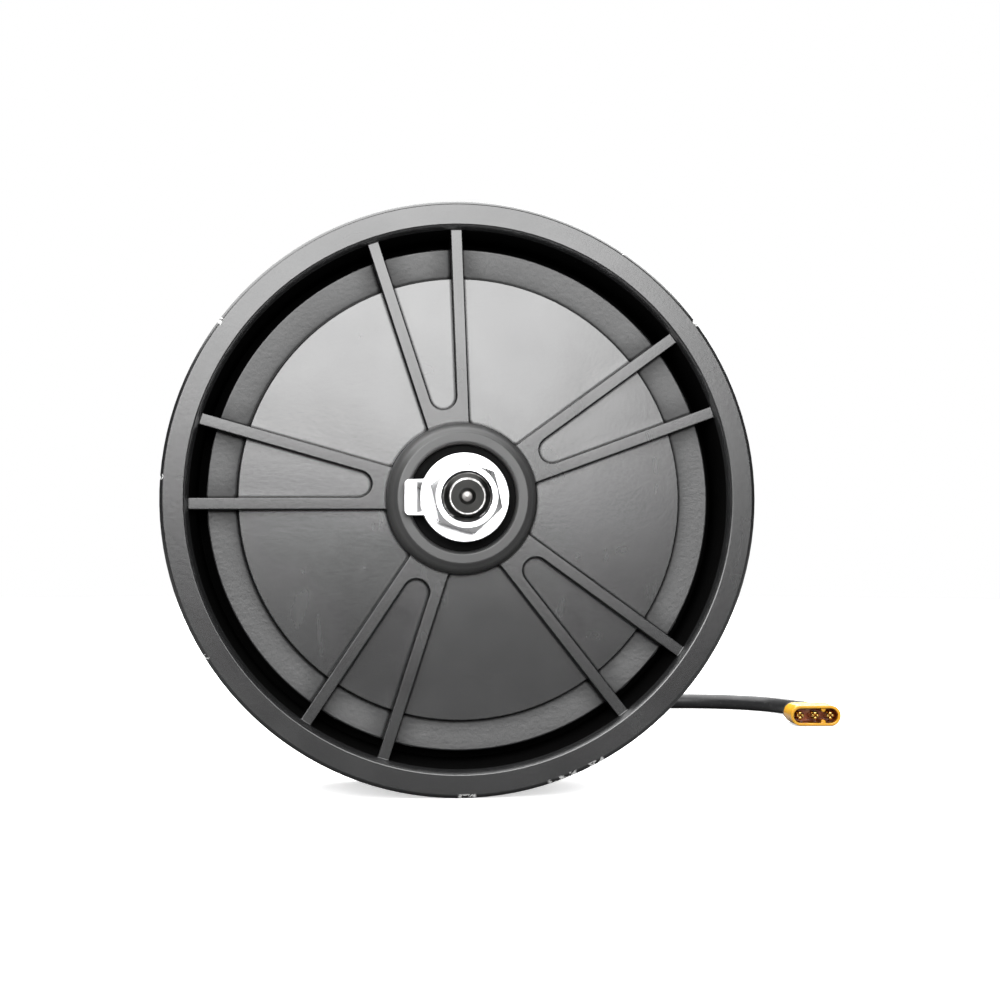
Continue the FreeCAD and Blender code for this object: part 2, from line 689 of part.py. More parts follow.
def make_tab_washer(label):
    """A washer keyed to the axle's flat, with a joggled tab for the fork's slot."""
    body = new_body(label)
    disc = new_sketch(body, "DiscSection", "XZ_Plane", "axle_shoulder")
    circle(disc, "washer_radius")
    chord = "sqrt(washer_hole * washer_hole - washer_flat * washer_flat)"
    pad(body, "Disc", disc, "washer_thickness")
    tab = new_sketch(body, "TabSide", "XY_Plane")
    near, far = "axle_shoulder", "(axle_shoulder + washer_thickness)"
    side = [
        ("washer_radius - 2", near),
        ("tab_bend_start", near),
        ("tab_bend_end", f"{near} - tab_joggle"),
        ("tab_tip", f"{near} - tab_joggle"),
        ("tab_tip", f"{far} - tab_joggle"),
        ("tab_bend_end", f"{far} - tab_joggle"),
        ("tab_bend_start", far),
        ("washer_radius - 2", far),
    ]
    outline(tab, [(f"-({radius})", f"-({forward})") for radius, forward in side])
    pad(body, "Tab", tab, "2 * tab_half", midplane=True)
    hole = new_sketch(body, "HoleSection", "XZ_Plane", far)
    outline(
        hole,
        [
            (chord, "-washer_flat"),
            ("washer_hole", "0", "washer_hole", 1),
            ("0", "washer_hole", "washer_hole", 1),
            ("-washer_hole", "0", "washer_hole", 1),
            (f"-{chord}", "-washer_flat", "washer_hole", 1),
        ],
    )
    pocket(body, "Hole", hole, "washer_thickness")
    round_edges(body, "TabCorners", "tab_round", is_tab_corner)
    return body


def is_tab_corner(edge):
    """True for the two short edges along the axis at the tab's tip."""
    ends = [vertex.Point for vertex in edge.Vertexes]
    at_tip = all(abs(point.x + size("tab_tip")) < 1e-6 for point in ends)
    return at_tip and len(ends) == 2 and abs(ends[0].y - ends[1].y) > 1.0


def make_axle_nut(label):
    body = new_body(label)
    start = "(axle_shoulder + washer_thickness)"
    section = new_sketch(body, "HexagonSection", "XZ_Plane", start)
    hexagon(section, "nut_flats", turn="nut_turn")
    circle(section, "nut_hole")
    pad(body, "Hexagon", section, "nut_height")
    corner = "(nut_flats / cos(30) + 0.5)"
    drop = f"(({corner} - nut_crown) * tan(30))"
    for name, face, sign in (("Front", f"{start} + nut_height", "-"), ("Back", start, "+")):
        chamfer = [
            ("nut_crown", face),
            (corner, face),
            (corner, f"{face} {sign} {drop}"),
        ]
        turn_profile(body, name + "Crown", chamfer, "PartDesign::Groove")
        mouth = [
            ("nut_hole - 0.5", face),
            ("nut_mouth", face),
            ("nut_hole - 0.5", f"{face} {sign} (nut_mouth - nut_hole + 0.5)"),
        ]
        turn_profile(body, name + "Mouth", mouth, "PartDesign::Groove")
    return body


# Motor inside


def make_flux_ring():
    body = new_body("flux_ring")
    start = "motor_middle - magnet_half"
    tube(body, "Ring", "can_bore", "flux_ring_bore", start, "2 * magnet_half")


def make_magnets():
    body = new_body("magnets")
    section = new_sketch(body, "MagnetSection", "XZ_Plane", "motor_middle - magnet_half")
    half = "(180 / magnet_count - magnet_gap / 2)"
    outline(
        section,
        [
            (f"flux_ring_bore * sin{half}", f"flux_ring_bore * cos{half}"),
            (f"-flux_ring_bore * sin{half}", f"flux_ring_bore * cos{half}", "flux_ring_bore", 1),
            (f"-magnet_bore * sin{half}", f"magnet_bore * cos{half}"),
            (f"magnet_bore * sin{half}", f"magnet_bore * cos{half}", "magnet_bore", -1),
        ],
    )
    magnet = pad(body, "Magnet", section, "2 * magnet_half")
    repeat_round(body, "Magnets", [magnet], "magnet_count")


def toothed_ring(body, bore, start, length):
    """The stator's outline: a yoke with teeth, from start forward."""
    tube(body, "Yoke", "yoke_radius", bore, start, length)
    section = new_sketch(body, "ToothSection", "XZ_Plane", start)
    outline(
        section,
        [
            ("tooth_half", "yoke_radius - 1"),
            ("tooth_half", "tip_start"),
            ("tip_half", "tip_shoulder"),
            ("tip_half", "sqrt(stator_radius * stator_radius - tip_half * tip_half)"),
            ("-tip_half", "sqrt(stator_radius * stator_radius - tip_half * tip_half)", "stator_radius", 1),
            ("-tip_half", "tip_shoulder"),
            ("-tooth_half", "tip_start"),
            ("-tooth_half", "yoke_radius - 1"),
        ],
    )
    tooth = pad(body, "Tooth", section, length)
    repeat_round(body, "Teeth", [tooth], "tooth_count")


def make_stator():
    stack = new_body("stator_laminations")
    toothed_ring(stack, "stack_bore", "motor_middle - stack_half", "2 * stack_half")
    for label, start in (
        ("front_end_insulator", "motor_middle + stack_half"),
        ("rear_end_insulator", "motor_middle - stack_half - insulator"),
    ):
        toothed_ring(new_body(label), "insulator_bore", start, "insulator")


def make_stator_hub():
    """The spider between the axle and the stack, lightened by round holes."""
    body = new_body("stator_hub")
    front, back = "(motor_middle + stack_half)", "(motor_middle - stack_half)"
    steps = [
        ("axle_seat", back),
        ("spider_hub", back),
        ("spider_hub", "motor_middle - spider_web"),
        ("spider_rim", "motor_middle - spider_web"),
        ("spider_rim", back),
        ("stack_bore", back),
        ("stack_bore", front),
        ("spider_rim", front),
        ("spider_rim", "motor_middle + spider_web"),
        ("spider_hub", "motor_middle + spider_web"),
        ("spider_hub", front),
        ("axle_seat", front),
    ]
    turn_profile(body, "Section", steps)
    drilling = new_sketch(body, "LightHole", "XZ_Plane", "motor_middle + spider_web")
    circle(drilling, "spider_hole", "0", "spider_hole_circle")
    hole = pocket(body, "Lightening", drilling, "2 * spider_web")
    repeat_round(body, "Lightenings", [hole], "spider_hole_count")


def coil_frame(sketch, half_width, half_length):
    outline(
        sketch,
        [
            (half_width, f"-{half_length} - motor_middle"),
            (half_width, f"{half_length} - motor_middle"),
            (f"-{half_width}", f"{half_length} - motor_middle"),
            (f"-{half_width}", f"-{half_length} - motor_middle"),
        ],
    )


def make_windings(label, offset):
    """One phase: a coil on every third tooth, starting offset teeth from the top."""
    body = new_body(label)
    inner = ("(tooth_half + coil_room)", "(stack_half + insulator + 0.1)")
    section = new_sketch(body, "CoilSection", "XY_Plane", "coil_start")
    coil_frame(section, *(f"({extent} + coil_build)" for extent in inner))
    coil_frame(section, *inner)
    coil = pad(body, "Coil", section, "coil_length")
    corners = round_edges(body, "CoilCorners", "coil_round", is_coil_corner)
    repeat_round(body, "Coils", [coil, corners], "tooth_count / 3")
    turn = FreeCAD.Rotation(Vector(0, 1, 0), offset * FULL_TURN / size("tooth_count"))
    body.Placement = FreeCAD.Placement(ORIGIN, turn)


def is_coil_corner(edge):
    """True for the outer edges of a coil that run along its tooth."""
    ends = [vertex.Point for vertex in edge.Vertexes]
    if len(ends) != 2 or abs(ends[0].z - ends[1].z) < 1.0:
        return False
    return abs(abs(ends[0].x) - size("tooth_half + coil_room + coil_build")) < 1e-6


def make_hall_board():
    """A curved circuit board on the rear ends of the coils."""
    body = new_body("hall_board")
    ends = "(stack_half + insulator + 0.1 + coil_build - motor_middle)"
    section = new_sketch(body, "BoardSection", "XZ_Plane", f"-{ends} - board_thickness")
    across, along = "sin(board_sweep)", "-cos(board_sweep)"
    outline(
        section,
        [
            (f"board_inner * {across}", f"board_inner * {along}"),
            ("0", "-board_inner", "board_inner", -1),
            (f"-board_inner * {across}", f"board_inner * {along}", "board_inner", -1),
            (f"-board_outer * {across}", f"board_outer * {along}"),
            ("0", "-board_outer", "board_outer", 1),
            (f"board_outer * {across}", f"board_outer * {along}", "board_outer", 1),
        ],
    )
    pad(body, "Board", section, "board_thickness")


def make_hall_sensors():
    """Three sensors that stand off the board into the gaps between the teeth."""
    body = new_body("hall_sensors")
    ends = "(stack_half + insulator + 0.1 + coil_build - motor_middle)"
    for index, gap in enumerate((-2, 0, 2)):
        section = new_sketch(body, f"SensorSection{index}", "XZ_Plane", f"-{ends}")
        section.AttachmentOffset = FreeCAD.Placement(
            section.AttachmentOffset.Base,
            FreeCAD.Rotation(UP, gap * FULL_TURN / size("tooth_count")),
        )
        outline(
            section,
            [
                ("-sensor_half", "-board_outer"),
                ("sensor_half", "-board_outer"),
                ("sensor_half", "-board_outer + sensor_depth"),
                ("-sensor_half", "-board_outer + sensor_depth"),
            ],
        )
        pad(body, f"Sensor{index}", section, "sensor_length")


# Wires and the cable: straight runs joined by tangent arcs


def rounded_wire(points, radii):
    """A wire through the points, with an arc of the given radius at each inner one."""
    edges, start = [], points[0]
    for before, corner, after, radius in zip(points, points[1:], points[2:], radii):
        back, on = (before - corner).normalize(), (after - corner).normalize()
        half_turn = (math.pi - back.getAngle(on)) / 2
        reach = radius * math.tan(half_turn)
        inward = (back + on).normalize()
        top = corner + inward * (radius / math.cos(half_turn) - radius)
        first, last = corner + back * reach, corner + on * reach
        edges += [Part.LineSegment(start, first).toShape(), Part.Arc(first, top, last).toShape()]
        start = last
    edges.append(Part.LineSegment(start, points[-1]).toShape())
    return Part.Wire(edges)


def swept_tube(wire, radius):
    """A round tube along a wire."""
    start, direction = wire.Edges[0].Vertexes[0].Point, wire.Edges[0].tangentAt(0)
    ring = Part.Wire(Part.Circle(start, direction, radius).toShape())
    return wire.makePipeShell([ring], True, False, 2)


def corner_radii(points):
    """For each inner point, the largest arc that its two runs allow."""
    radii = []
    for before, corner, after in zip(points, points[1:], points[2:]):
        back, on = before - corner, after - corner
        half_turn = (math.pi - back.getAngle(on)) / 2
        radii.append(CORD_CORNER * min(back.Length, on.Length) / math.tan(half_turn))
    return radii


def new_solid(label, shape):
    feature = document.addObject("Part::Feature", "Solid_" + label)
    feature.Label = label
    feature.Shape = shape
    nodes.append(feature)


def make_phase_leads():
    """Three leads from the coils at the top, down to the axle and out through its bore."""
    tubes = []
    start = size("coil_start - 0.05")
    side = size("stack_half + insulator + coil_build / 2 + 0.1 - motor_middle")
    place = size("cable_port_place")
    bend = size("lead_bend")
    for index in (-1, 0, 1):
        angle = math.radians(index * FULL_TURN / size("tooth_count"))
        across = index * size("lead_pitch")
        points = [
            Vector(start * math.sin(angle), side, start * math.cos(angle)),
            Vector(start * math.sin(angle) * 0.85, side + 0.2, start * math.cos(angle) * 0.85),
            Vector(across, place, size("spider_hub + 6")),
            Vector(across, place, 0),
            Vector(across, size("boot_start"), 0),
        ]
        tubes.append(swept_tube(rounded_wire(points, [2 * bend, 2 * bend, bend]), size("lead_radius")))
    new_solid("phase_leads", Part.makeCompound(tubes))


def make_cable_boot():
    """The moulded boot in the axle's hollow end, built facing forward."""
    body = new_body("cable_boot")
    steps = [
        ("0", "boot_start"),
        ("cable_bore", "boot_start"),
        ("cable_bore", "axle_reach"),
        ("boot_radius", "axle_reach"),
        ("boot_radius", "axle_reach + 2.5"),
        ("boot_end_radius + 0.4", "axle_reach + 3.5"),
        ("boot_end_radius", "boot_end"),
        ("0", "boot_end"),
    ]
    turn_profile(body, "Section", steps)
    return body


def make_motor_cable():
    points = [Vector(*point) for point in CABLE_ROUTE]
    radii = corner_radii(points)
    wire = rounded_wire(points, radii)
    radius = size("cable_radius")
    shape = swept_tube(wire, radius)
    section = math.pi * radius**2
    print("cable length", round(wire.Length, 1), "mm")
    print("cable radii", [round(value, 1) for value in radii])
    print("cable volume over section times length", round(shape.Volume / (section * wire.Length), 4))
    new_solid("motor_cable", shape)


# Connector, built facing forward from the cable's end and then placed there


def stadium(sketch, half_width, half_height):
    """A flat-sided oval."""
    flat = f"({half_width} - {half_height})"
    outline(
        sketch,
        [
            (flat, f"-{half_height}"),
            (f"{flat} + {half_height}", "0", half_height, 1),
            (flat, half_height, half_height, 1),
            (f"-{flat}", half_height),
            (f"-{flat} - {half_height}", "0", half_height, 1),
            (f"-{flat}", f"-{half_height}", half_height, 1),
        ],
    )


def make_connector_sleeve():
    body = new_body("connector_sleeve")
    steps = [
        ("0", "0"),
        ("cable_radius + 0.3", "0"),
        ("plug_boot_radius", "plug_boot_length"),
        ("0", "plug_boot_length"),
    ]
    turn_profile(body, "Section", steps)
    return body


def make_connector_back():
    body = new_body("connector_back")
    sketch = new_sketch(body, "Section", "XZ_Plane", "plug_boot_length")
    stadium(sketch, "(plug_half_width - plug_back_step)", "(plug_half_height - plug_back_step)")
    pad(body, "Block", sketch, "plug_back_length")
    round_edges(body, "BackRound", "plug_back_round", is_back_edge)
    return body


def is_back_edge(edge):
    """True for the edges of the back shell's end face."""
    return all(abs(vertex.Y + size("plug_boot_length")) < 1e-6 for vertex in edge.Vertexes)


def make_connector_shell():
    """The shell with its cavity, two facing keys and a hole for each pin."""
    body = new_body("connector_shell")
    start = "(plug_boot_length + plug_back_length)"
    front = f"({start} + plug_length)"
    outside = new_sketch(body, "OutsideSection", "XZ_Plane", start)
    stadium(outside, "plug_half_width", "plug_half_height")
    pad(body, "Block", outside, "plug_length")
    inside = new_sketch(body, "CavitySection", "XZ_Plane", front)
    stadium(inside, "(plug_half_width - plug_wall)", "(plug_half_height - plug_wall)")
    pocket(body, "Cavity", inside, "plug_cavity")
    keys = new_sketch(body, "KeySection", "XZ_Plane", f"{front} - plug_cavity")
    for sign in ("", "-"):
        circle(keys, "plug_key", "pin_pitch / 2", f"{sign}(plug_key_gap + plug_key)")
    pad(body, "Keys", keys, "plug_cavity - 0.4")
    holes = new_sketch(body, "PinHoleSection", "XZ_Plane", f"{front} - plug_cavity")
    for place in ("-pin_pitch", "0", "pin_pitch"):
        circle(holes, "pin_root", place)
    pocket(body, "PinHoles", holes, "plug_length - plug_cavity")
    return body


def make_connector_pins():
    """Three bullet pins on thinner roots, split by a cross cut so that they spring."""
    body = new_body("connector_pins")
    places = ("-pin_pitch", "0", "pin_pitch")
    start = "(plug_boot_length + plug_back_length)"
    floor = f"({start} + plug_length - plug_cavity)"
    roots = new_sketch(body, "RootSection", "XZ_Plane", start)
    section = new_sketch(body, "PinSection", "XZ_Plane", floor)
    for place in places:
        circle(roots, "pin_root", place)
        circle(section, "pin_radius", place)
    pad(body, "Roots", roots, "plug_length - plug_cavity")
    pad(body, "Pins", section, "pin_reach")
    round_edges(body, "PinRounds", "pin_round", is_pin_end)
    for index, place in enumerate(places):
        for name, turn in (("Rising", "(pin_slot_turn)"), ("Falling", "(-pin_slot_turn)")):
            cut = new_sketch(body, f"{name}{index}Section", "XZ_Plane", f"{floor} + pin_reach")
            outline(cut, turned_slot(place, "(pin_radius + 0.5)", "(pin_slot / 2)", turn))
            pocket(body, f"{name}{index}", cut, "pin_slot_depth")
    return body


def is_pin_end(edge):
    """True for the edges round the free ends of the pins."""
    tip = size("plug_boot_length + plug_back_length + plug_length - plug_cavity + pin_reach")
    return all(abs(vertex.Y + tip) < 1e-6 for vertex in edge.Vertexes)


def turned_slot(place, half_long, half_wide, turn):
    """The corners of a slot whose middle is beside the axis and whose length lies at an angle."""
    corners = []
    for along, across in (("-", "-"), ("", "-"), ("", ""), ("-", "")):
        right = f"{along}{half_long} * cos{turn} - ({across}{half_wide}) * sin{turn}"
        up = f"{along}{half_long} * sin{turn} + ({across}{half_wide}) * cos{turn}"
        corners.append((f"{place} + ({right})", up))
    return corners


def place_connector():
    """Sets the plug on the end of the cable, in line with its last run."""
    parts = [make_connector_sleeve(), make_connector_back(), make_connector_shell(), make_connector_pins()]
    before, end = (Vector(*point) for point in CABLE_ROUTE[-2:])
    heading = end - before
    turn = math.degrees(math.atan2(heading.x, -heading.y))
    for part in parts:
        part.Placement = FreeCAD.Placement(end, FreeCAD.Rotation(UP, turn))


# The whole wheel


def turn_to_rear(part):
    part.Placement = FreeCAD.Placement(ORIGIN, AROUND_REAR)


def make_everything():
    make_wheel_casting()
    turn_to_rear(make_side_cover())
    turn_to_rear(make_cover_gasket())
    turn_to_rear(make_cover_screws())
    make_flux_ring()
    make_magnets()
    for maker, name in (
        (make_outer_race, "bearing_outer_race"),
        (make_inner_race, "bearing_inner_race"),
        (make_balls, "bearing_balls"),
        (make_cage, "bearing_cage"),
        (make_shaft_seal, "shaft_seal"),
        (make_tab_washer, "tab_washer"),
        (make_axle_nut, "axle_nut"),
    ):
        maker("front_" + name)
        turn_to_rear(maker("rear_" + name))
    make_axle()
    make_stator_hub()
    make_stator()
    for offset, phase in enumerate(("phase_a", "phase_b", "phase_c")):
        make_windings(phase + "_windings", offset)
    make_phase_leads()
    make_hall_board()
    make_hall_sensors()
    turn_to_rear(make_cable_boot())
    make_motor_cable()
    place_connector()


def check_everything():
    for item in document.Objects:
        faults = {"Invalid", "Error"} & set(item.State)
        if faults:
            raise RuntimeError(f"{item.Label}: {faults}")
    for node in nodes:
        if node.Shape.isNull() or not node.Shape.isValid():
            raise RuntimeError(f"{node.Label} has no valid shape")


def write_everything():
    os.makedirs("parts", exist_ok=True)
    for node in nodes:
        node.Shape.exportStep(f"parts/{node.Label}.step")
        solids = len(node.Shape.Solids)
        print(f"{node.Label:24} {solids:3} solids {node.Shape.Volume:12.1f} mm3")


fill_sheet()
make_everything()
document.recompute()
check_everything()
write_everything()
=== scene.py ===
import json
import math

import bmesh
import bpy
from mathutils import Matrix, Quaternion, Vector


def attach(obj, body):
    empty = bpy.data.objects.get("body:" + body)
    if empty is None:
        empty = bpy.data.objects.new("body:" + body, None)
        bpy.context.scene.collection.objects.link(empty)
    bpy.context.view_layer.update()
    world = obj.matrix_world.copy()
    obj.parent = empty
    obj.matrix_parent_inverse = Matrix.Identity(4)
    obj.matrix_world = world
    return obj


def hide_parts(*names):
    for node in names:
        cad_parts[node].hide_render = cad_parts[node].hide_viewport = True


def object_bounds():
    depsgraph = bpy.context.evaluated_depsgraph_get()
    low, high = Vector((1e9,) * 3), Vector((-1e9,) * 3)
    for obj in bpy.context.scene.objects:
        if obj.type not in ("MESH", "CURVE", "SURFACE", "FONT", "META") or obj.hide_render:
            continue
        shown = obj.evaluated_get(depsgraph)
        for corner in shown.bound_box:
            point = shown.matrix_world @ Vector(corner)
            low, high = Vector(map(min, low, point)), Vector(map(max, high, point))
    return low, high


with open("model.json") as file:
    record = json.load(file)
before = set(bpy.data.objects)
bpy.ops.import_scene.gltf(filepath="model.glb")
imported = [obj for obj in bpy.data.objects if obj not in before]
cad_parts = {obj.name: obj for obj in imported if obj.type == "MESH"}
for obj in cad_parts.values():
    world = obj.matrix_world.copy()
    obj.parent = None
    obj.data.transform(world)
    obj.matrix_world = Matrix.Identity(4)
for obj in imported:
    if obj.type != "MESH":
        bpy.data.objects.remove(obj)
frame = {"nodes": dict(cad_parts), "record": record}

# A bare scooter hub motor wheel: a painted cast rim with ribs, bright hardware on a black axle and
# a motor cable with a yellow plug. The closed face looks along -Y, and everything is in metres.

cad_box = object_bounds()
MM = 0.001
GROUND = cad_box[0][2]
# The camera's turn to the right and up, in degrees.
AIM_RIGHT = 5.78
LOOK_UP = 1.72

# The plug's cavity, which is painted in shade: the way in, the middle of its mouth, and half its
# width and height.
PLUG_INWARD = Vector((2, 26, 0)).normalized()
PLUG_MOUTH = Vector((0.171, 0.224, GROUND + 4.6 * MM)) - 36 * MM * PLUG_INWARD
CAVITY_WIDTH = 9.45 * MM
CAVITY_HEIGHT = 3.1 * MM


# Camera, floor and light


def add_camera():
    """A camera at the photograph's angle, a little to the left of the axle and below it."""
    data = bpy.data.cameras.new("camera")
    data.lens = 65.8
    data.sensor_width = 36
    camera = bpy.data.objects.new("camera", data)
    camera.location = (-0.044, -0.574, -0.017)
    camera.rotation_euler = (math.radians(90 + LOOK_UP), 0, math.radians(-AIM_RIGHT))
    bpy.context.scene.collection.objects.link(camera)
    bpy.context.scene.camera = camera


def add_softbox(name, place, target, width, height, power, roll=0.0):
    """A rectangular light that looks at a target, turned about its own axis by roll degrees."""
    data = bpy.data.lights.new(name, "AREA")
    data.shape = "RECTANGLE"
    data.size, data.size_y = width, height
    data.energy = power
    light = bpy.data.objects.new(name, data)
    light.location = place
    aim = (Vector(target) - Vector(place)).to_track_quat("-Z", "Y")
    light.rotation_euler = (aim @ Quaternion((0, 0, 1), math.radians(roll))).to_euler()
    light.visible_camera = False
    bpy.context.scene.collection.objects.link(light)


def add_lights():
    """A window in front that the paint mirrors, a ceiling, and a fill from behind."""
    add_softbox("window", (-0.40, -1.60, 0.71), (-0.40, 0, 0.71), 1.8, 1.16, 50, -8)
    add_softbox("ceiling", (-0.1, 0.45, 1.5), (0, 0.2, 0), 3.4, 2.4, 127)
    add_softbox("behind", (0.9, 1.5, 0.8), (0, 0, 0), 1.4, 1.0, 30)


def add_world():
    """A dim room, with a white backdrop for the camera alone."""
    scene = bpy.context.scene
    scene.view_settings.view_transform = "Standard"
    world = bpy.data.worlds.new("studio")
    scene.world = world
    world.use_nodes = True
    tree = world.node_tree
    tree.nodes.clear()
    output = tree.nodes.new("ShaderNodeOutputWorld")
    room, backdrop = (tree.nodes.new("ShaderNodeBackground") for _ in range(2))
    room.inputs["Color"].default_value = (1, 1, 1, 1)
    room.inputs["Strength"].default_value = 0.06
    backdrop.inputs["Color"].default_value = (1, 1, 1, 1)
    backdrop.inputs["Strength"].default_value = 1.0
    mix = tree.nodes.new("ShaderNodeMixShader")
    rays = tree.nodes.new("ShaderNodeLightPath")
    tree.links.new(rays.outputs["Is Camera Ray"], mix.inputs["Fac"])
    tree.links.new(room.outputs[0], mix.inputs[1])
    tree.links.new(backdrop.outputs[0], mix.inputs[2])
    tree.links.new(mix.outputs[0], output.inputs["Surface"])


def add_floor():
    """A round sheet of paper from just in front of the wheel: bright, but with little glare."""
    reach, front, corners = 1.5, -0.30, 96
    turns = [2 * math.pi * index / corners for index in range(corners)]
    mesh = bpy.data.meshes.new("floor")
    rim = [
        (reach * math.cos(turn), reach * math.sin(turn) + reach + front, GROUND) for turn in turns
    ]
    mesh.from_pydata(rim, [], [tuple(range(len(rim)))])
    floor = bpy.data.objects.new("floor", mesh)
    bpy.context.scene.collection.objects.link(floor)
    material = bpy.data.materials.new("paper")
    material.use_nodes = True
    tree = material.node_tree
    shader = tree.nodes["Principled BSDF"]
    shader.inputs["Roughness"].default_value = 0.9
    shader.inputs["Specular IOR Level"].default_value = 0.1
    shader.inputs["Emission Color"].default_value = (1, 1, 1, 1)
    seen = tree.nodes.new("ShaderNodeLightPath").outputs["Is Camera Ray"]
    levels = (("Base Color", 0.14, 0.86), ("Emission Strength", 0.0, 0.6))
    for socket, unseen, shown in levels:
        level = tree.nodes.new("ShaderNodeMapRange")
        level.inputs["To Min"].default_value = unseen
        level.inputs["To Max"].default_value = shown
        tree.links.new(seen, level.inputs["Value"])
        tree.links.new(level.outputs["Result"], shader.inputs[socket])
    mesh.materials.append(material)


# Materials


class Nodes:
    """Builds one material's nodes on its principled shader."""

    def __init__(self, name):
        self.material = bpy.data.materials.new(name)
        self.material.use_nodes = True
        self.tree = self.material.node_tree
        self.shader = self.tree.nodes["Principled BSDF"]
        self.place = self.add("ShaderNodeTexCoord").outputs["Object"]

    def add(self, kind, **settings):
        node = self.tree.nodes.new(kind)
        for key, value in settings.items():
            setattr(node, key, value)
        return node

    def feed(self, socket, value):
        """Links a socket to the input, or sets a plain value on it."""
        if isinstance(value, bpy.types.NodeSocket):
            self.tree.links.new(value, socket)
        else:
            socket.default_value = value

    def set(self, **values):
        """Sets or links the shader's inputs, with _ for a space in a name."""
        for key, value in values.items():
            self.feed(self.shader.inputs[key.replace("_", " ")], value)

    def noise(self, grain, detail=4.0, distortion=0.0, stretch=None):
        """Noise whose features are about grain metres across."""
        node = self.add("ShaderNodeTexNoise")
        self.feed(node.inputs["Scale"], 1 / grain)
        self.feed(node.inputs["Detail"], detail)
        self.feed(node.inputs["Distortion"], distortion)
        self.feed(node.inputs["Vector"], self.stretched(stretch) if stretch else self.place)
        return node.outputs["Fac"]

    def stretched(self, scale):
        node = self.add("ShaderNodeMapping")
        self.feed(node.inputs["Vector"], self.place)
        self.feed(node.inputs["Scale"], scale)
        return node.outputs["Vector"]

    def cells(self, grain, feature="F1"):
        """Distances in a pattern of cells about grain metres across."""
        node = self.add("ShaderNodeTexVoronoi", feature=feature)
        self.feed(node.inputs["Vector"], self.place)
        self.feed(node.inputs["Scale"], 1 / grain)
        return node.outputs["Distance"]

    def stripes(self, period, axis="Y", kind="BANDS", wobble=0.0):
        """Waves with a period in metres."""
        settings = {"wave_type": kind}
        settings["rings_direction" if kind == "RINGS" else "bands_direction"] = axis
        node = self.add("ShaderNodeTexWave", **settings)
        self.feed(node.inputs["Vector"], self.place)
        self.feed(node.inputs["Scale"], 2 * math.pi / (20 * period))
        self.feed(node.inputs["Distortion"], wobble)
        return node.outputs["Fac"]

    def span(self, value, low, high, to_low=0.0, to_high=1.0):
        """The value from low to high, mapped to to_low to to_high and held there at the ends."""
        node = self.add("ShaderNodeMapRange")
        for key, number in (("Value", value), ("From Min", low), ("From Max", high)):
            self.feed(node.inputs[key], number)
        self.feed(node.inputs["To Min"], to_low)
        self.feed(node.inputs["To Max"], to_high)
        return node.outputs["Result"]

    def calc(self, first, second, operation="ADD"):
        node = self.add("ShaderNodeMath", operation=operation)
        self.feed(node.inputs[0], first)
        self.feed(node.inputs[1], second)
        return node.outputs[0]

    def mix(self, share, first, second):
        node = self.add("ShaderNodeMix", data_type="RGBA")
        self.feed(node.inputs["Factor"], share)
        for socket, colour in ((node.inputs[6], first), (node.inputs[7], second)):
            self.feed(socket, colour if isinstance(colour, bpy.types.NodeSocket) else (*colour, 1))
        return node.outputs[2]

    def crease_shade(self, reach, slight, full):
        """1 in the piece's own inner corners, where a reach in metres meets a share of open air: a
        mask for painted shade.
        """
        node = self.add("ShaderNodeAmbientOcclusion", samples=8, only_local=True)
        self.feed(node.inputs["Distance"], reach)
        return self.span(node.outputs["AO"], slight, full)

    def parts(self):
        """The X, Y and Z of the place on the object."""
        node = self.add("ShaderNodeSeparateXYZ")
        self.feed(node.inputs[0], self.place)
        return node.outputs

    def radius(self):
        """The distance from the wheel's axis."""
        x, _, z = self.parts()
        squares = self.calc(self.both(x, x), self.both(z, z))
        return self.calc(squares, 0.5, "POWER")

    def away(self):
        """The distance from the wheel's centre plane."""
        return self.calc(self.parts()[1], 0.0, "ABSOLUTE")

    def both(self, first, *others):
        """The product of shares: 1 where all of them are 1."""
        for other in others:
            first = self.calc(first, other, "MULTIPLY")
        return first

    def within(self, share, inside, outside=1.0):
        """Goes from outside to inside as the share goes from 0 to 1."""
        return self.span(share, 0, 1, outside, inside)

    def bump(self, height, depth, strength=1.0, below=None):
        node = self.add("ShaderNodeBump")
        self.feed(node.inputs["Height"], height)
        self.feed(node.inputs["Distance"], depth)
        self.feed(node.inputs["Strength"], strength)
        if below is not None:
            self.feed(node.inputs["Normal"], below)
        return node.outputs["Normal"]


# Where the regions of the casting begin: pairs of radii, or of distances from the centre plane,
# between which a region's share goes from 0 to 1.
RIM_EDGE = (0.0885, 0.0892)
RIM_FACE = (0.0826, 0.0830)
GROOVE_INSIDE = (0.0762, 0.0764)
GROOVE_OUTSIDE = (0.0826, 0.0823)
GROOVE_HEIGHT = (0.0243, 0.0238)
SHOULDER_INSIDE = (0.0672, 0.0675)
SHOULDER_OUTSIDE = (0.0764, 0.0762)
SHOULDER_HEIGHT = (0.0208, 0.0204)
RIB_INSIDE = (0.0232, 0.0240)
RIB_OUTSIDE = (0.0828, 0.0826)
RIB_HEIGHT = (0.0236, 0.0242)
BOSS_OUTSIDE = (0.0234, 0.0229)
BOSS_HEIGHT = (0.0225, 0.0232)
BOSS_CREST = (0.0290, 0.0297)
CHIP_CIRCLE = 0.0898
CHIPS = [
    (57, 1.0),
    (37, 1.2),
    (144, 1.6),
    (176, 1.0),
    (212, 1.3),
    (271, 3.0),
    (290, 5.0),
    (297, 3.0),
]


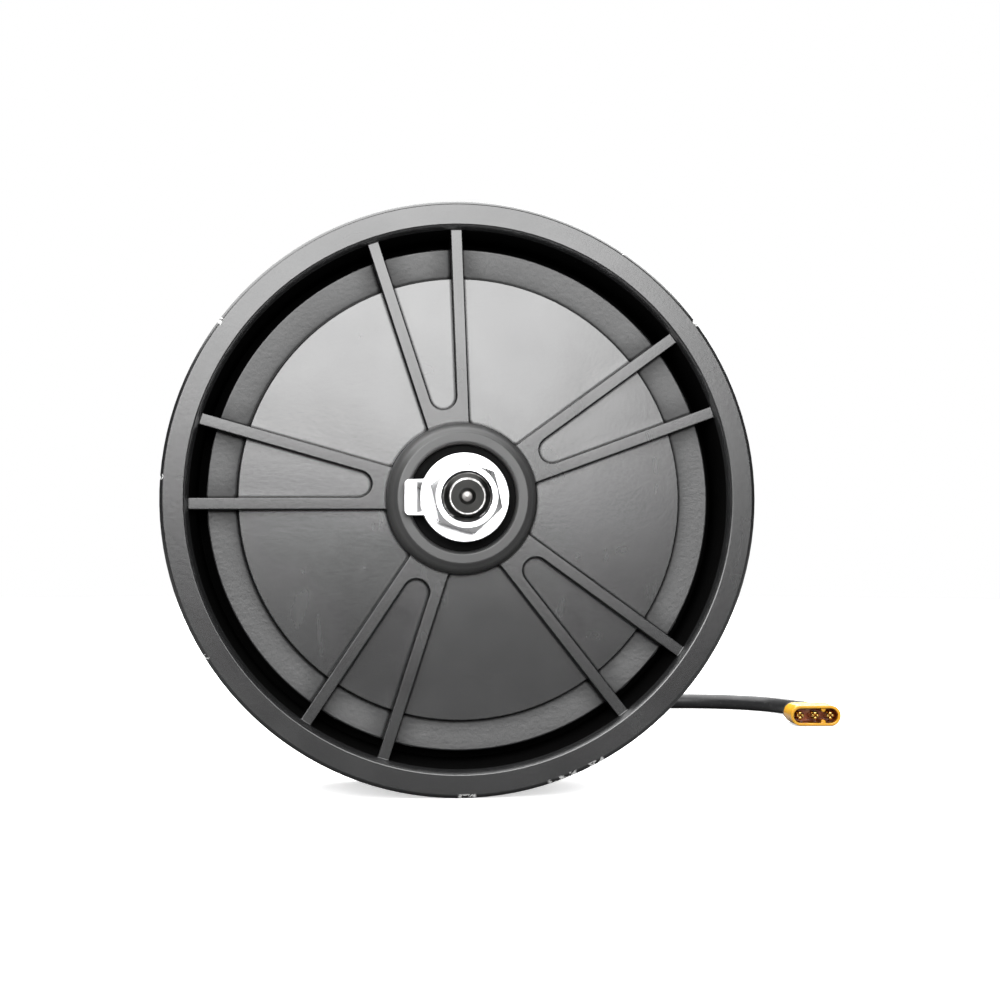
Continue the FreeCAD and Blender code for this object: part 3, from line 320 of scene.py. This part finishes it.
def edge_chips(nodes):
    """Spots where paint is knocked off the rim's outer edge, at a few (degrees, size in mm)."""
    spot = nodes.span(nodes.noise(0.0016, 6, 0.4), 0.50, 0.54)
    flat = nodes.stretched((1, 0, 1))
    near = 0.0
    for turn, reach in CHIPS:
        angle = math.radians(turn)
        gap = nodes.add("ShaderNodeVectorMath", operation="DISTANCE")
        nodes.feed(gap.inputs[0], flat)
        middle = (CHIP_CIRCLE * math.cos(angle), 0, CHIP_CIRCLE * math.sin(angle))
        nodes.feed(gap.inputs[1], middle)
        patch = nodes.span(gap.outputs["Value"], reach * MM, 0.8 * reach * MM)
        near = nodes.calc(patch, near, "MAXIMUM")
    return nodes.both(near, nodes.span(nodes.radius(), *RIM_EDGE), spot)


def groove_shade_mask(nodes):
    """1 on the walls and the floor of the deep channel beside the can, where hardly any light gets
    to: the mask for painted shade there.
    """
    deep = nodes.span(nodes.away(), *GROOVE_HEIGHT)
    inside = nodes.span(nodes.radius(), *GROOVE_INSIDE)
    return nodes.both(deep, inside, nodes.span(nodes.radius(), *GROOVE_OUTSIDE))


def shoulder_ring(nodes):
    """1 on the ring round the raised disc, which keeps more of the rough skin of the mould."""
    inside = nodes.span(nodes.radius(), *SHOULDER_INSIDE)
    outside = nodes.span(nodes.radius(), *SHOULDER_OUTSIDE)
    return nodes.both(inside, outside, nodes.span(nodes.away(), *SHOULDER_HEIGHT))


def boss_skin(nodes):
    """The share of the boss, whose paint is flatter, and of its front face."""
    away = nodes.away()
    boss = nodes.both(nodes.span(nodes.radius(), *BOSS_OUTSIDE), nodes.span(away, *BOSS_HEIGHT))
    return boss, nodes.both(boss, nodes.span(away, *BOSS_CREST))


def rib_tops(nodes):
    """1 on the flat tops of the ribs and where a pair of them meets."""
    top = nodes.span(nodes.away(), *RIB_HEIGHT)
    outside = nodes.span(nodes.radius(), *RIB_INSIDE)
    return nodes.both(top, outside, nodes.span(nodes.radius(), *RIB_OUTSIDE))


def cast_paint(nodes, dark, light, chips):
    """Semi-gloss black-grey paint over a casting, with handling marks, specks and edge chips, and
    painted shade in the deep channel beside the can, in the creases and in the ring's hollows.
    """
    ring = shoulder_ring(nodes)
    groove_shade = groove_shade_mask(nodes)
    boss, crest = boss_skin(nodes)
    # Painted shade: the hollows of the ring beside the ribs, found by occlusion.
    hollow_shade = nodes.both(nodes.crease_shade(0.008, 0.95, 0.60), ring)
    # Painted shade: the casting's creases, found by occlusion.
    crease_shade = nodes.crease_shade(0.0015, 0.86, 0.68)

    cloud = nodes.span(nodes.noise(0.05, 3, 0.6), 0.35, 0.68)
    speck = nodes.span(nodes.noise(0.0016, 5), 0.60, 0.74)
    smear = nodes.span(nodes.noise(0.012, 6, 2.5, (1, 1, 0.3)), 0.60, 0.70)
    rub = nodes.both(smear, nodes.span(nodes.noise(0.09, 2), 0.48, 0.62))
    dots = nodes.span(nodes.cells(0.026), 0.012, 0.009)
    colour = nodes.mix(cloud, dark, light)
    colour = nodes.mix(nodes.both(speck, 0.2), colour, tuple(2.2 * part for part in light))
    colour = nodes.mix(nodes.both(rub, 0.15), colour, (0.05, 0.05, 0.05))
    flatter = nodes.mix(cloud, (0.035, 0.035, 0.035), (0.05, 0.05, 0.05))
    colour = nodes.mix(boss, colour, flatter)
    # Painted shade: the channel beside the can is painted near black.
    colour = nodes.mix(groove_shade, colour, (0.003, 0.003, 0.003))
    # Painted shade: the creases are painted near black.
    colour = nodes.mix(crease_shade, colour, (0.003, 0.003, 0.003))
    colour = nodes.mix(nodes.both(dots, 0.8), colour, (0.5, 0.5, 0.5))

    rough = nodes.span(nodes.noise(0.02, 3, 0.5), 0.3, 0.75, 0.24, 0.28)
    for share, more in ((rub, 0.03), (ring, 0.05), (boss, 0.16)):
        rough = nodes.calc(rough, nodes.both(share, more))

    gloss = nodes.span(nodes.radius(), *RIM_FACE, 1.0, 0.76)
    # Painted shade: no gloss in the channel beside the can.
    for share, inside in ((ring, 0.66), (groove_shade, 0.0), (crest, 0.7), (rib_tops(nodes), 0.78)):
        gloss = nodes.both(gloss, nodes.within(share, inside))
    # Painted shade: the gloss is cut in the ring's hollows and in the creases.
    gloss = nodes.both(gloss, nodes.within(hollow_shade, 0.55, 1.12), nodes.within(crease_shade, 0.1))

    skin = nodes.both(nodes.noise(0.0012, 2), nodes.within(ring, 2.2))
    normal = nodes.bump(skin, 0.00003, 0.5)
    normal = nodes.bump(nodes.noise(0.0004, 2), 0.000012, 0.5, normal)
    if chips:
        chip = edge_chips(nodes)
        colour = nodes.mix(chip, colour, (0.78, 0.78, 0.77))
        normal = nodes.bump(nodes.calc(1.0, chip, "SUBTRACT"), 0.0001, 1.0, normal)
    nodes.set(Base_Color=colour, Roughness=rough, Normal=normal)
    nodes.set(IOR=1.52, Specular_IOR_Level=gloss)


def grey_casting_paint(nodes):
    cast_paint(nodes, (0.009, 0.0092, 0.0095), (0.014, 0.0143, 0.0147), True)


def grey_cover_paint(nodes):
    cast_paint(nodes, (0.009, 0.0092, 0.0095), (0.013, 0.0133, 0.0137), False)


def worked_metal(
    nodes, colour, rough, mark=0.0006, depth=0.00002, dirt=(0.05, 0.045, 0.04), soil=0.5
):
    """Bright metal with tool marks round the axis, fine scratches and a little dirt."""
    stain = nodes.span(nodes.noise(0.006, 5, 1.0), 0.60, 0.78)
    shade = nodes.mix(nodes.both(stain, soil), colour, dirt)
    marks = nodes.stripes(mark, "Y", "RINGS", 2.0)
    scratch = nodes.span(nodes.noise(0.0012, 6, 3.0, (1, 1, 0.15)), 0.60, 0.66)
    level = nodes.span(nodes.noise(0.003, 5), 0.3, 0.7, rough - 0.06, rough + 0.10)
    level = nodes.calc(level, nodes.both(stain, 0.5 * soil))
    normal = nodes.bump(marks, depth, 0.5)
    normal = nodes.bump(scratch, depth, 0.5, normal)
    nodes.set(Base_Color=shade, Metallic=1.0, Roughness=level, Normal=normal)
    return shade


def zinc_steel(nodes):
    worked_metal(nodes, (0.91, 0.91, 0.92), 0.30, 0.0009, 0.000006, (0.45, 0.44, 0.42), 0.25)


# Where the axle's steel turns bright, as for the casting, and the radius of its nose's edge.
NOSE_EDGE = 0.00515
NOSE_EDGE_BAND = (0.00035, 0.0002)
NOSE_START = (0.0455, 0.0458)
THREAD_CREST = (0.0067, 0.0069)
CENTRE_HOLE = (0.0016, 0.0012)
GROUND_SEATS = (0.0342, 0.0338)


def axle_steel(nodes):
    """Blackened steel, bright where it is ground or rubbed: seats, thread crests and nose edges."""
    black = worked_metal(nodes, (0.028, 0.028, 0.027), 0.36, 0.0005, 0.00001)
    away = nodes.away()
    reach = nodes.radius()
    rub = nodes.span(nodes.noise(0.0012, 5, 0.6), 0.35, 0.60, 0.35, 1.0)
    gap = nodes.calc(nodes.calc(reach, NOSE_EDGE, "SUBTRACT"), 0.0, "ABSOLUTE")
    edge = nodes.both(nodes.span(gap, *NOSE_EDGE_BAND), nodes.span(away, *NOSE_START))
    crest = nodes.both(nodes.span(reach, *THREAD_CREST), 0.5)
    worn = nodes.both(nodes.calc(edge, crest, "MAXIMUM"), rub)
    bright = nodes.calc(worn, nodes.span(reach, *CENTRE_HOLE), "MAXIMUM")
    bright = nodes.calc(bright, nodes.span(away, *GROUND_SEATS), "MAXIMUM")
    nodes.set(Base_Color=nodes.mix(bright, black, (0.66, 0.65, 0.64)))


def bearing_steel(nodes):
    worked_metal(nodes, (0.72, 0.72, 0.74), 0.14, 0.0004, 0.000008)


def ring_steel(nodes):
    worked_metal(nodes, (0.42, 0.41, 0.40), 0.34, 0.0007, 0.00003)


def magnet_coat(nodes):
    worked_metal(nodes, (0.66, 0.64, 0.60), 0.22, 0.002, 0.00001)


def spider_aluminium(nodes):
    worked_metal(nodes, (0.74, 0.75, 0.76), 0.36, 0.0012, 0.00004, (0.25, 0.25, 0.25))


def black_oxide_steel(nodes):
    worked_metal(nodes, (0.06, 0.06, 0.065), 0.38, 0.0006, 0.00001)


def lamination_steel(nodes):
    """The edges of thin stacked sheets, each 0.5 mm thick."""
    sheets = nodes.stripes(0.0005, "Y")
    stain = nodes.span(nodes.noise(0.004, 5), 0.4, 0.7)
    colour = nodes.mix(sheets, (0.10, 0.10, 0.11), (0.36, 0.36, 0.37))
    colour = nodes.mix(nodes.both(stain, 0.4), colour, (0.16, 0.09, 0.05))
    normal = nodes.bump(sheets, 0.00008, 0.8)
    rough = nodes.span(stain, 0, 1, 0.32, 0.55)
    nodes.set(Base_Color=colour, Metallic=0.9, Roughness=rough, Normal=normal)


def enamelled_copper(nodes):
    """Round wires laid side by side under clear enamel, with painted shade in the gaps between
    them.
    """
    wires = nodes.stripes(0.0009, "DIAGONAL", "BANDS", 0.6)
    tone = nodes.span(nodes.noise(0.004, 4), 0.3, 0.7)
    colour = nodes.mix(tone, (0.48, 0.17, 0.06), (0.72, 0.32, 0.13))
    # Painted shade: dark lines where the wires meet.
    colour = nodes.mix(nodes.span(wires, 0.0, 0.35, 0.75, 0.0), colour, (0.08, 0.03, 0.015))
    rough = nodes.span(tone, 0, 1, 0.22, 0.34)
    nodes.set(Base_Color=colour, Metallic=0.85, Roughness=rough)
    nodes.set(Normal=nodes.bump(wires, 0.00025), Coat_Weight=0.5, Coat_Roughness=0.2)


def moulded(nodes, colour, rough, grain=0.0006, depth=0.00002, dust=0.2, spread=0.25):
    """Moulded plastic or rubber: a fine skin, uneven gloss and some dust in the hollows."""
    cloud = nodes.span(nodes.noise(0.01, 4, 0.5), 0.35, 0.7)
    tinted = nodes.mix(cloud, colour, tuple(part * (1 - spread) for part in colour))
    settled = nodes.span(nodes.noise(0.002, 6, 1.0), 0.58, 0.74)
    pale = tuple(0.5 * part + 0.14 for part in colour)
    tinted = nodes.mix(nodes.both(settled, dust), tinted, pale)
    level = nodes.span(nodes.noise(0.004, 5), 0.3, 0.7, rough - 0.05, rough + 0.08)
    normal = nodes.bump(nodes.noise(grain, 4), depth, 0.7)
    nodes.set(Base_Color=tinted, Roughness=level, Normal=normal)
    return tinted


def seal_rubber(nodes):
    moulded(nodes, (0.004, 0.004, 0.004), 0.75, 0.0005, 0.00003, 0.02)
    nodes.set(Specular_IOR_Level=0.12)


def gasket_fibre(nodes):
    moulded(nodes, (0.035, 0.035, 0.035), 0.8, 0.0003, 0.00005, 0.3)


def cage_plastic(nodes):
    moulded(nodes, (0.16, 0.14, 0.10), 0.5)


def insulator_plastic(nodes):
    moulded(nodes, (0.72, 0.69, 0.58), 0.45)


def lead_insulation(nodes):
    moulded(nodes, (0.50, 0.05, 0.03), 0.42)


def board_laminate(nodes):
    """Solder mask with tracks that show through."""
    tracks = nodes.span(nodes.cells(0.004, "DISTANCE_TO_EDGE"), 0.05, 0.12)
    colour = nodes.mix(tracks, (0.05, 0.20, 0.09), (0.02, 0.10, 0.04))
    normal = nodes.bump(tracks, 0.00004, 0.6)
    rough = nodes.span(nodes.noise(0.003, 4), 0.3, 0.7, 0.25, 0.4)
    nodes.set(Base_Color=colour, Roughness=rough, Normal=normal)


def sensor_plastic(nodes):
    moulded(nodes, (0.02, 0.02, 0.02), 0.5, 0.0003)


def boot_rubber(nodes):
    moulded(nodes, (0.016, 0.016, 0.017), 0.48, 0.0005, 0.00003)


def cable_jacket(nodes):
    """An extruded jacket, finely pitted all over."""
    moulded(nodes, (0.018, 0.018, 0.019), 0.40, 0.0009, 0.00003, 0.18)


def black_plastic(nodes):
    moulded(nodes, (0.018, 0.018, 0.018), 0.42)


def plug_cavity_shade(nodes):
    """1 inside the plug's oval cavity, where only light through the shell gets to: a mask for
    painted shade.
    """
    measures = []
    for direction in (PLUG_INWARD, Vector((-PLUG_INWARD.y, PLUG_INWARD.x, 0))):
        shifted = nodes.add("ShaderNodeVectorMath", operation="SUBTRACT")
        nodes.feed(shifted.inputs[0], nodes.place)
        nodes.feed(shifted.inputs[1], PLUG_MOUTH)
        along = nodes.add("ShaderNodeVectorMath", operation="DOT_PRODUCT")
        nodes.feed(along.inputs[0], shifted.outputs["Vector"])
        nodes.feed(along.inputs[1], direction)
        measures.append(along.outputs["Value"])
    depth, side = measures
    rise = nodes.calc(nodes.parts()[2], PLUG_MOUTH.z, "SUBTRACT")
    side = nodes.calc(side, 0.0, "ABSOLUTE")
    past = nodes.calc(side, CAVITY_WIDTH - CAVITY_HEIGHT, "SUBTRACT")
    past = nodes.calc(past, 0.0, "MAXIMUM")
    squares = nodes.calc(nodes.both(past, past), nodes.both(rise, rise))
    reach = nodes.calc(squares, 0.5, "POWER")
    oval = nodes.span(reach, CAVITY_HEIGHT + 0.1 * MM, CAVITY_HEIGHT)
    return nodes.both(oval, nodes.span(depth, 0.2 * MM, 2.5 * MM))


def yellow_plastic(nodes):
    outside = moulded(nodes, (0.85, 0.42, 0.015), 0.30, 0.0008, 0.00001, 0.06, 0.12)
    # Painted shade: the inside of the cavity is painted a deeper, darker orange.
    nodes.set(Base_Color=nodes.mix(plug_cavity_shade(nodes), outside, (0.42, 0.085, 0.004)))
    nodes.set(Subsurface_Weight=0.12, Subsurface_Scale=0.002, Coat_Weight=0.25, Coat_Roughness=0.15)
    nodes.shader.inputs["Subsurface Radius"].default_value = (1.0, 0.5, 0.1)


def gold_plate(nodes):
    worked_metal(nodes, (0.83, 0.55, 0.16), 0.20, 0.0004, 0.00001, (0.30, 0.17, 0.05))


SURFACES = {
    "grey_casting_paint": grey_casting_paint,
    "grey_cover_paint": grey_cover_paint,
    "gasket_fibre": gasket_fibre,
    "black_oxide_steel": black_oxide_steel,
    "ring_steel": ring_steel,
    "magnet_coat": magnet_coat,
    "bearing_steel": bearing_steel,
    "cage_plastic": cage_plastic,
    "seal_rubber": seal_rubber,
    "zinc_steel": zinc_steel,
    "axle_steel": axle_steel,
    "spider_aluminium": spider_aluminium,
    "lamination_steel": lamination_steel,
    "insulator_plastic": insulator_plastic,
    "enamelled_copper": enamelled_copper,
    "lead_insulation": lead_insulation,
    "board_laminate": board_laminate,
    "sensor_plastic": sensor_plastic,
    "boot_rubber": boot_rubber,
    "cable_jacket": cable_jacket,
    "black_plastic": black_plastic,
    "yellow_plastic": yellow_plastic,
    "gold_plate": gold_plate,
}
materials = {}


def material_for(slot):
    if slot not in materials:
        nodes = Nodes(slot)
        SURFACES[slot](nodes)
        materials[slot] = nodes.material
    return materials[slot]


def dress_cad_nodes():
    for part in frame["record"]["subparts"]:
        data = frame["nodes"][part["node"]].data
        data.materials.clear()
        data.materials.append(material_for(part["material_slot"]))


# Softened edges on the CAD nodes


EDGE_ROUNDS = {
    "wheel_casting": 0.3,
    "side_cover": 0.35,
    "cover_screws": 0.4,
    "front_tab_washer": 0.25,
    "rear_tab_washer": 0.25,
    "front_shaft_seal": 0.2,
    "rear_shaft_seal": 0.2,
    "cable_boot": 0.4,
    "connector_sleeve": 0.3,
    "connector_back": 0.3,
    "connector_shell": 0.3,
    "connector_pins": 0.25,
    "magnets": 0.3,
    "hall_board": 0.1,
    "hall_sensors": 0.15,
}
PIERCED = ("side_cover",)


def soften(node, width):
    """Joins flat facets into whole faces and rounds the edges by a width in mm.

    A pierced piece keeps its facets, because whole faces with holes in them shade badly.
    """
    piece = frame["nodes"][node]
    weld = piece.modifiers.new("weld", "WELD")
    weld.merge_threshold = 0.004 * MM
    if node not in PIERCED:
        flat = piece.modifiers.new("flat", "DECIMATE")
        flat.decimate_type = "DISSOLVE"
        flat.angle_limit = math.radians(0.05)
    rounded = piece.modifiers.new("rounded", "BEVEL")
    rounded.width = width * MM
    rounded.segments = 3
    rounded.limit_method = "ANGLE"
    rounded.angle_limit = math.radians(40)
    rounded.use_clamp_overlap = False
    piece.modifiers.new("even", "WEIGHTED_NORMAL")
    piece.data.shade_smooth()


# Motor cable: the route is the part's own, in metres


LYING = GROUND + 3.5 * MM
CABLE_DIAMETER = 0.007
CABLE_ROUTE = [
    (0, 0.058, 0),
    (0, 0.088, 0),
    (0.0005, 0.116, -0.012),
    (0.0015, 0.136, -0.036),
    (0.004, 0.151, -0.063),
    (0.009, 0.169, -0.080),
    (0.019, 0.195, LYING),
    (0.034, 0.223, LYING),
    (0.055, 0.249, LYING),
    (0.080, 0.271, LYING),
    (0.108, 0.285, LYING),
    (0.136, 0.286, LYING),
    (0.160, 0.2735, LYING),
    (0.173, 0.250, LYING),
    (0.171, 0.224, LYING + 1.1 * MM),
]


def add_cable():
    """The motor cable, along its route to the sleeve on the plug."""
    curve = bpy.data.curves.new("motor_lead", "CURVE")
    curve.dimensions = "3D"
    spline = curve.splines.new("NURBS")
    spline.points.add(len(CABLE_ROUTE) - 1)
    for point, place in zip(spline.points, CABLE_ROUTE):
        point.co = (*place, 1)
    spline.order_u = 3
    spline.use_endpoint_u = True
    spline.resolution_u = 12
    curve.bevel_depth = CABLE_DIAMETER / 2
    curve.bevel_resolution = 6
    curve.use_fill_caps = True
    cable = bpy.data.objects.new("motor_lead", curve)
    bpy.context.scene.collection.objects.link(cable)
    curve.materials.append(material_for("cable_jacket"))
    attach(cable, "fixed")
    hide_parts("motor_cable")


# Axle and nuts with their threads: rings round the axis, whose radius may change with the angle


PITCH = 1.5 * MM
THREAD_STEP = PITCH / 10
THREAD_RADIUS = 7.0 * MM
THREAD_DEPTH = 0.92 * MM
THREAD_CLEARANCE = 0.06 * MM
FLAT_REACH = 5.76 * MM
SHOULDER = 34.0 * MM
AXLE_END = 46.0 * MM
NOSE_RADIUS = 5.2 * MM
AXLE_CHAMFER = 1.5 * MM
BEARING_SEAT = 7.5 * MM
SEAT_CHAMFER = 0.2 * MM
BEARING_START = 16.5 * MM
STATOR_SEAT = 9.5 * MM
CENTRE_DRILL = 2.44 * MM
CENTRE_DRILL_DEPTH = 3.4 * MM
CABLE_BORE = 4.0 * MM
CABLE_BORE_START = 8.6 * MM
PORT_RADIUS = 3.3 * MM
PORT_PLACE = 12.3 * MM
NUT_START = 36.3 * MM
NUT_END = 44.3 * MM
NUT_FLATS = 9.5 * MM
NUT_CROWN = 9.1 * MM
NUT_CROWN_DEPTH = 1.2 * MM
NUT_CROWN_STEP = 0.08 * MM
NUT_MOUTH = 7.6 * MM
NUT_TURN = math.radians(42.8)
POINT = 0.02 * MM
AROUND = 144


def seen_from_outside(angle, place):
    """The angle and the distance along the axis, as counted by someone facing the nearer end."""
    return (math.pi - angle if place > 0 else angle), abs(place)


def thread_radius(angle, place):
    """The radius of a right-hand thread with flat crests and roots."""
    angle, along = seen_from_outside(angle, place)
    phase = (along / PITCH - angle / (2 * math.pi)) % 1.0
    ridge = 1 - abs(2 * phase - 1)
    return THREAD_RADIUS - THREAD_DEPTH * (1 - min(max(1.25 * ridge - 0.125, 0), 1))


def axle_thread(angle, place):
    """The thread, cut by the flat underneath and by the chamfer at the end."""
    nose = NOSE_RADIUS + (AXLE_END - abs(place)) * (THREAD_RADIUS - NOSE_RADIUS) / AXLE_CHAMFER
    down = max(-math.sin(angle), 0.5)
    return min(thread_radius(angle, place), nose, FLAT_REACH / down)


def nut_thread(angle, place):
    """The bore of a nut: the same thread with a little clearance, opened out at both mouths."""
    near = min(abs(place) - NUT_START, NUT_END - abs(place))
    return max(thread_radius(angle, place) + THREAD_CLEARANCE, NUT_MOUTH - near)


def nut_side(angle, place):
    """The hexagon, with the corners turned away towards each face."""
    angle, along = seen_from_outside(angle, place)
    turn = (angle - NUT_TURN) % math.radians(60) - math.radians(30)
    near = min(along - NUT_START, NUT_END - along)
    return min(NUT_FLATS / math.cos(turn), NUT_CROWN + near / math.tan(math.radians(30)))


def places(start, end, step):
    """Places from start to end, at most a step apart."""
    count = math.ceil(abs(end - start) / step)
    return [start + (end - start) * index / count for index in range(count + 1)]


def ring_piece(name, rings, first_angle, wrapped):
    """A closed mesh through rings given as (radius, place), where a radius may be a function."""
    vertices, faces = [], []
    for radius, place in rings:
        for index in range(AROUND):
            angle = first_angle + 2 * math.pi * index / AROUND
            reach = radius(angle, place) if callable(radius) else radius
            vertices.append((reach * math.cos(angle), place, reach * math.sin(angle)))
    count = len(rings)
    for ring in range(count if wrapped else count - 1):
        first, second = ring * AROUND, (ring + 1) % count * AROUND
        for index in range(AROUND):
            after = (index + 1) % AROUND
            faces.append((first + index, first + after, second + after, second + index))
    if not wrapped:
        faces += [tuple(range(AROUND)), tuple(range((count - 1) * AROUND, count * AROUND))]
    mesh = bpy.data.meshes.new(name)
    mesh.from_pydata(vertices, [], faces)
    form = bmesh.new()
    form.from_mesh(mesh)
    bmesh.ops.recalc_face_normals(form, faces=form.faces)
    form.to_mesh(mesh)
    form.free()
    piece = bpy.data.objects.new(name, mesh)
    bpy.context.scene.collection.objects.link(piece)
    return piece


def finish_piece(piece, slot, body, node):
    """Shades a piece, gives it its paint and body, and puts it in the place of a CAD node."""
    piece.data.shade_smooth()
    piece.data.set_sharp_from_angle(angle=math.radians(24))
    piece.data.materials.clear()
    piece.data.materials.append(material_for(slot))
    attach(piece, body)
    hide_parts(node)


def add_nut(end, side):
    """The nut of one end, with its corners turned away over the first part of each face."""
    crown = places(0, NUT_CROWN_DEPTH, NUT_CROWN_STEP)
    outside = [NUT_START + rise for rise in crown] + [NUT_END - rise for rise in reversed(crown)]
    rings = [(nut_side, side * along) for along in outside]
    rings += [(nut_thread, side * along) for along in places(NUT_END, NUT_START, THREAD_STEP)]
    first_angle = NUT_TURN if side < 0 else math.pi - NUT_TURN
    nut = ring_piece(f"{end}_threaded_nut", rings, first_angle, True)
    finish_piece(nut, "zinc_steel", f"{end}_nut", f"{end}_axle_nut")


def end_rings(side):
    """The outside of one end of the axle, from its nose to the stator's seat."""
    rings = [(axle_thread, side * along) for along in places(AXLE_END, SHOULDER, THREAD_STEP)]
    rings += [
        (BEARING_SEAT - SEAT_CHAMFER, side * SHOULDER),
        (BEARING_SEAT, side * (SHOULDER - SEAT_CHAMFER)),
        (BEARING_SEAT, side * BEARING_START),
        (STATOR_SEAT, side * BEARING_START),
    ]
    return rings


def add_axle():
    """The axle, with a bore for the cable at the rear and a cross hole into it from the top."""
    rings = [(POINT, CABLE_BORE_START), (CABLE_BORE, CABLE_BORE_START), (CABLE_BORE, AXLE_END)]
    rings += [*end_rings(1), *reversed(end_rings(-1))]
    rings += [(CENTRE_DRILL, -AXLE_END), (POINT, CENTRE_DRILL_DEPTH - AXLE_END)]
    axle = ring_piece("threaded_axle", rings, 0.0, False)
    form = bmesh.new()
    depth = STATOR_SEAT + MM
    bmesh.ops.create_cone(
        form,
        cap_ends=True,
        segments=48,
        radius1=PORT_RADIUS,
        radius2=PORT_RADIUS,
        depth=depth,
    )
    bmesh.ops.translate(form, verts=form.verts, vec=(0, PORT_PLACE, depth / 2))
    drill = bpy.data.objects.new("drill", bpy.data.meshes.new("drill"))
    form.to_mesh(drill.data)
    form.free()
    bpy.context.scene.collection.objects.link(drill)
    cut = axle.modifiers.new("port", "BOOLEAN")
    cut.object = drill
    cut.solver = "EXACT"
    seen = axle.evaluated_get(bpy.context.evaluated_depsgraph_get())
    axle.data = bpy.data.meshes.new_from_object(seen)
    axle.modifiers.clear()
    bpy.data.objects.remove(drill)
    finish_piece(axle, "axle_steel", "fixed", "axle")


add_camera()
add_world()
add_lights()
add_floor()
add_cable()
add_axle()
add_nut("front", -1)
add_nut("rear", 1)
dress_cad_nodes()
for node_name, edge_round in EDGE_ROUNDS.items():
    soften(node_name, edge_round)
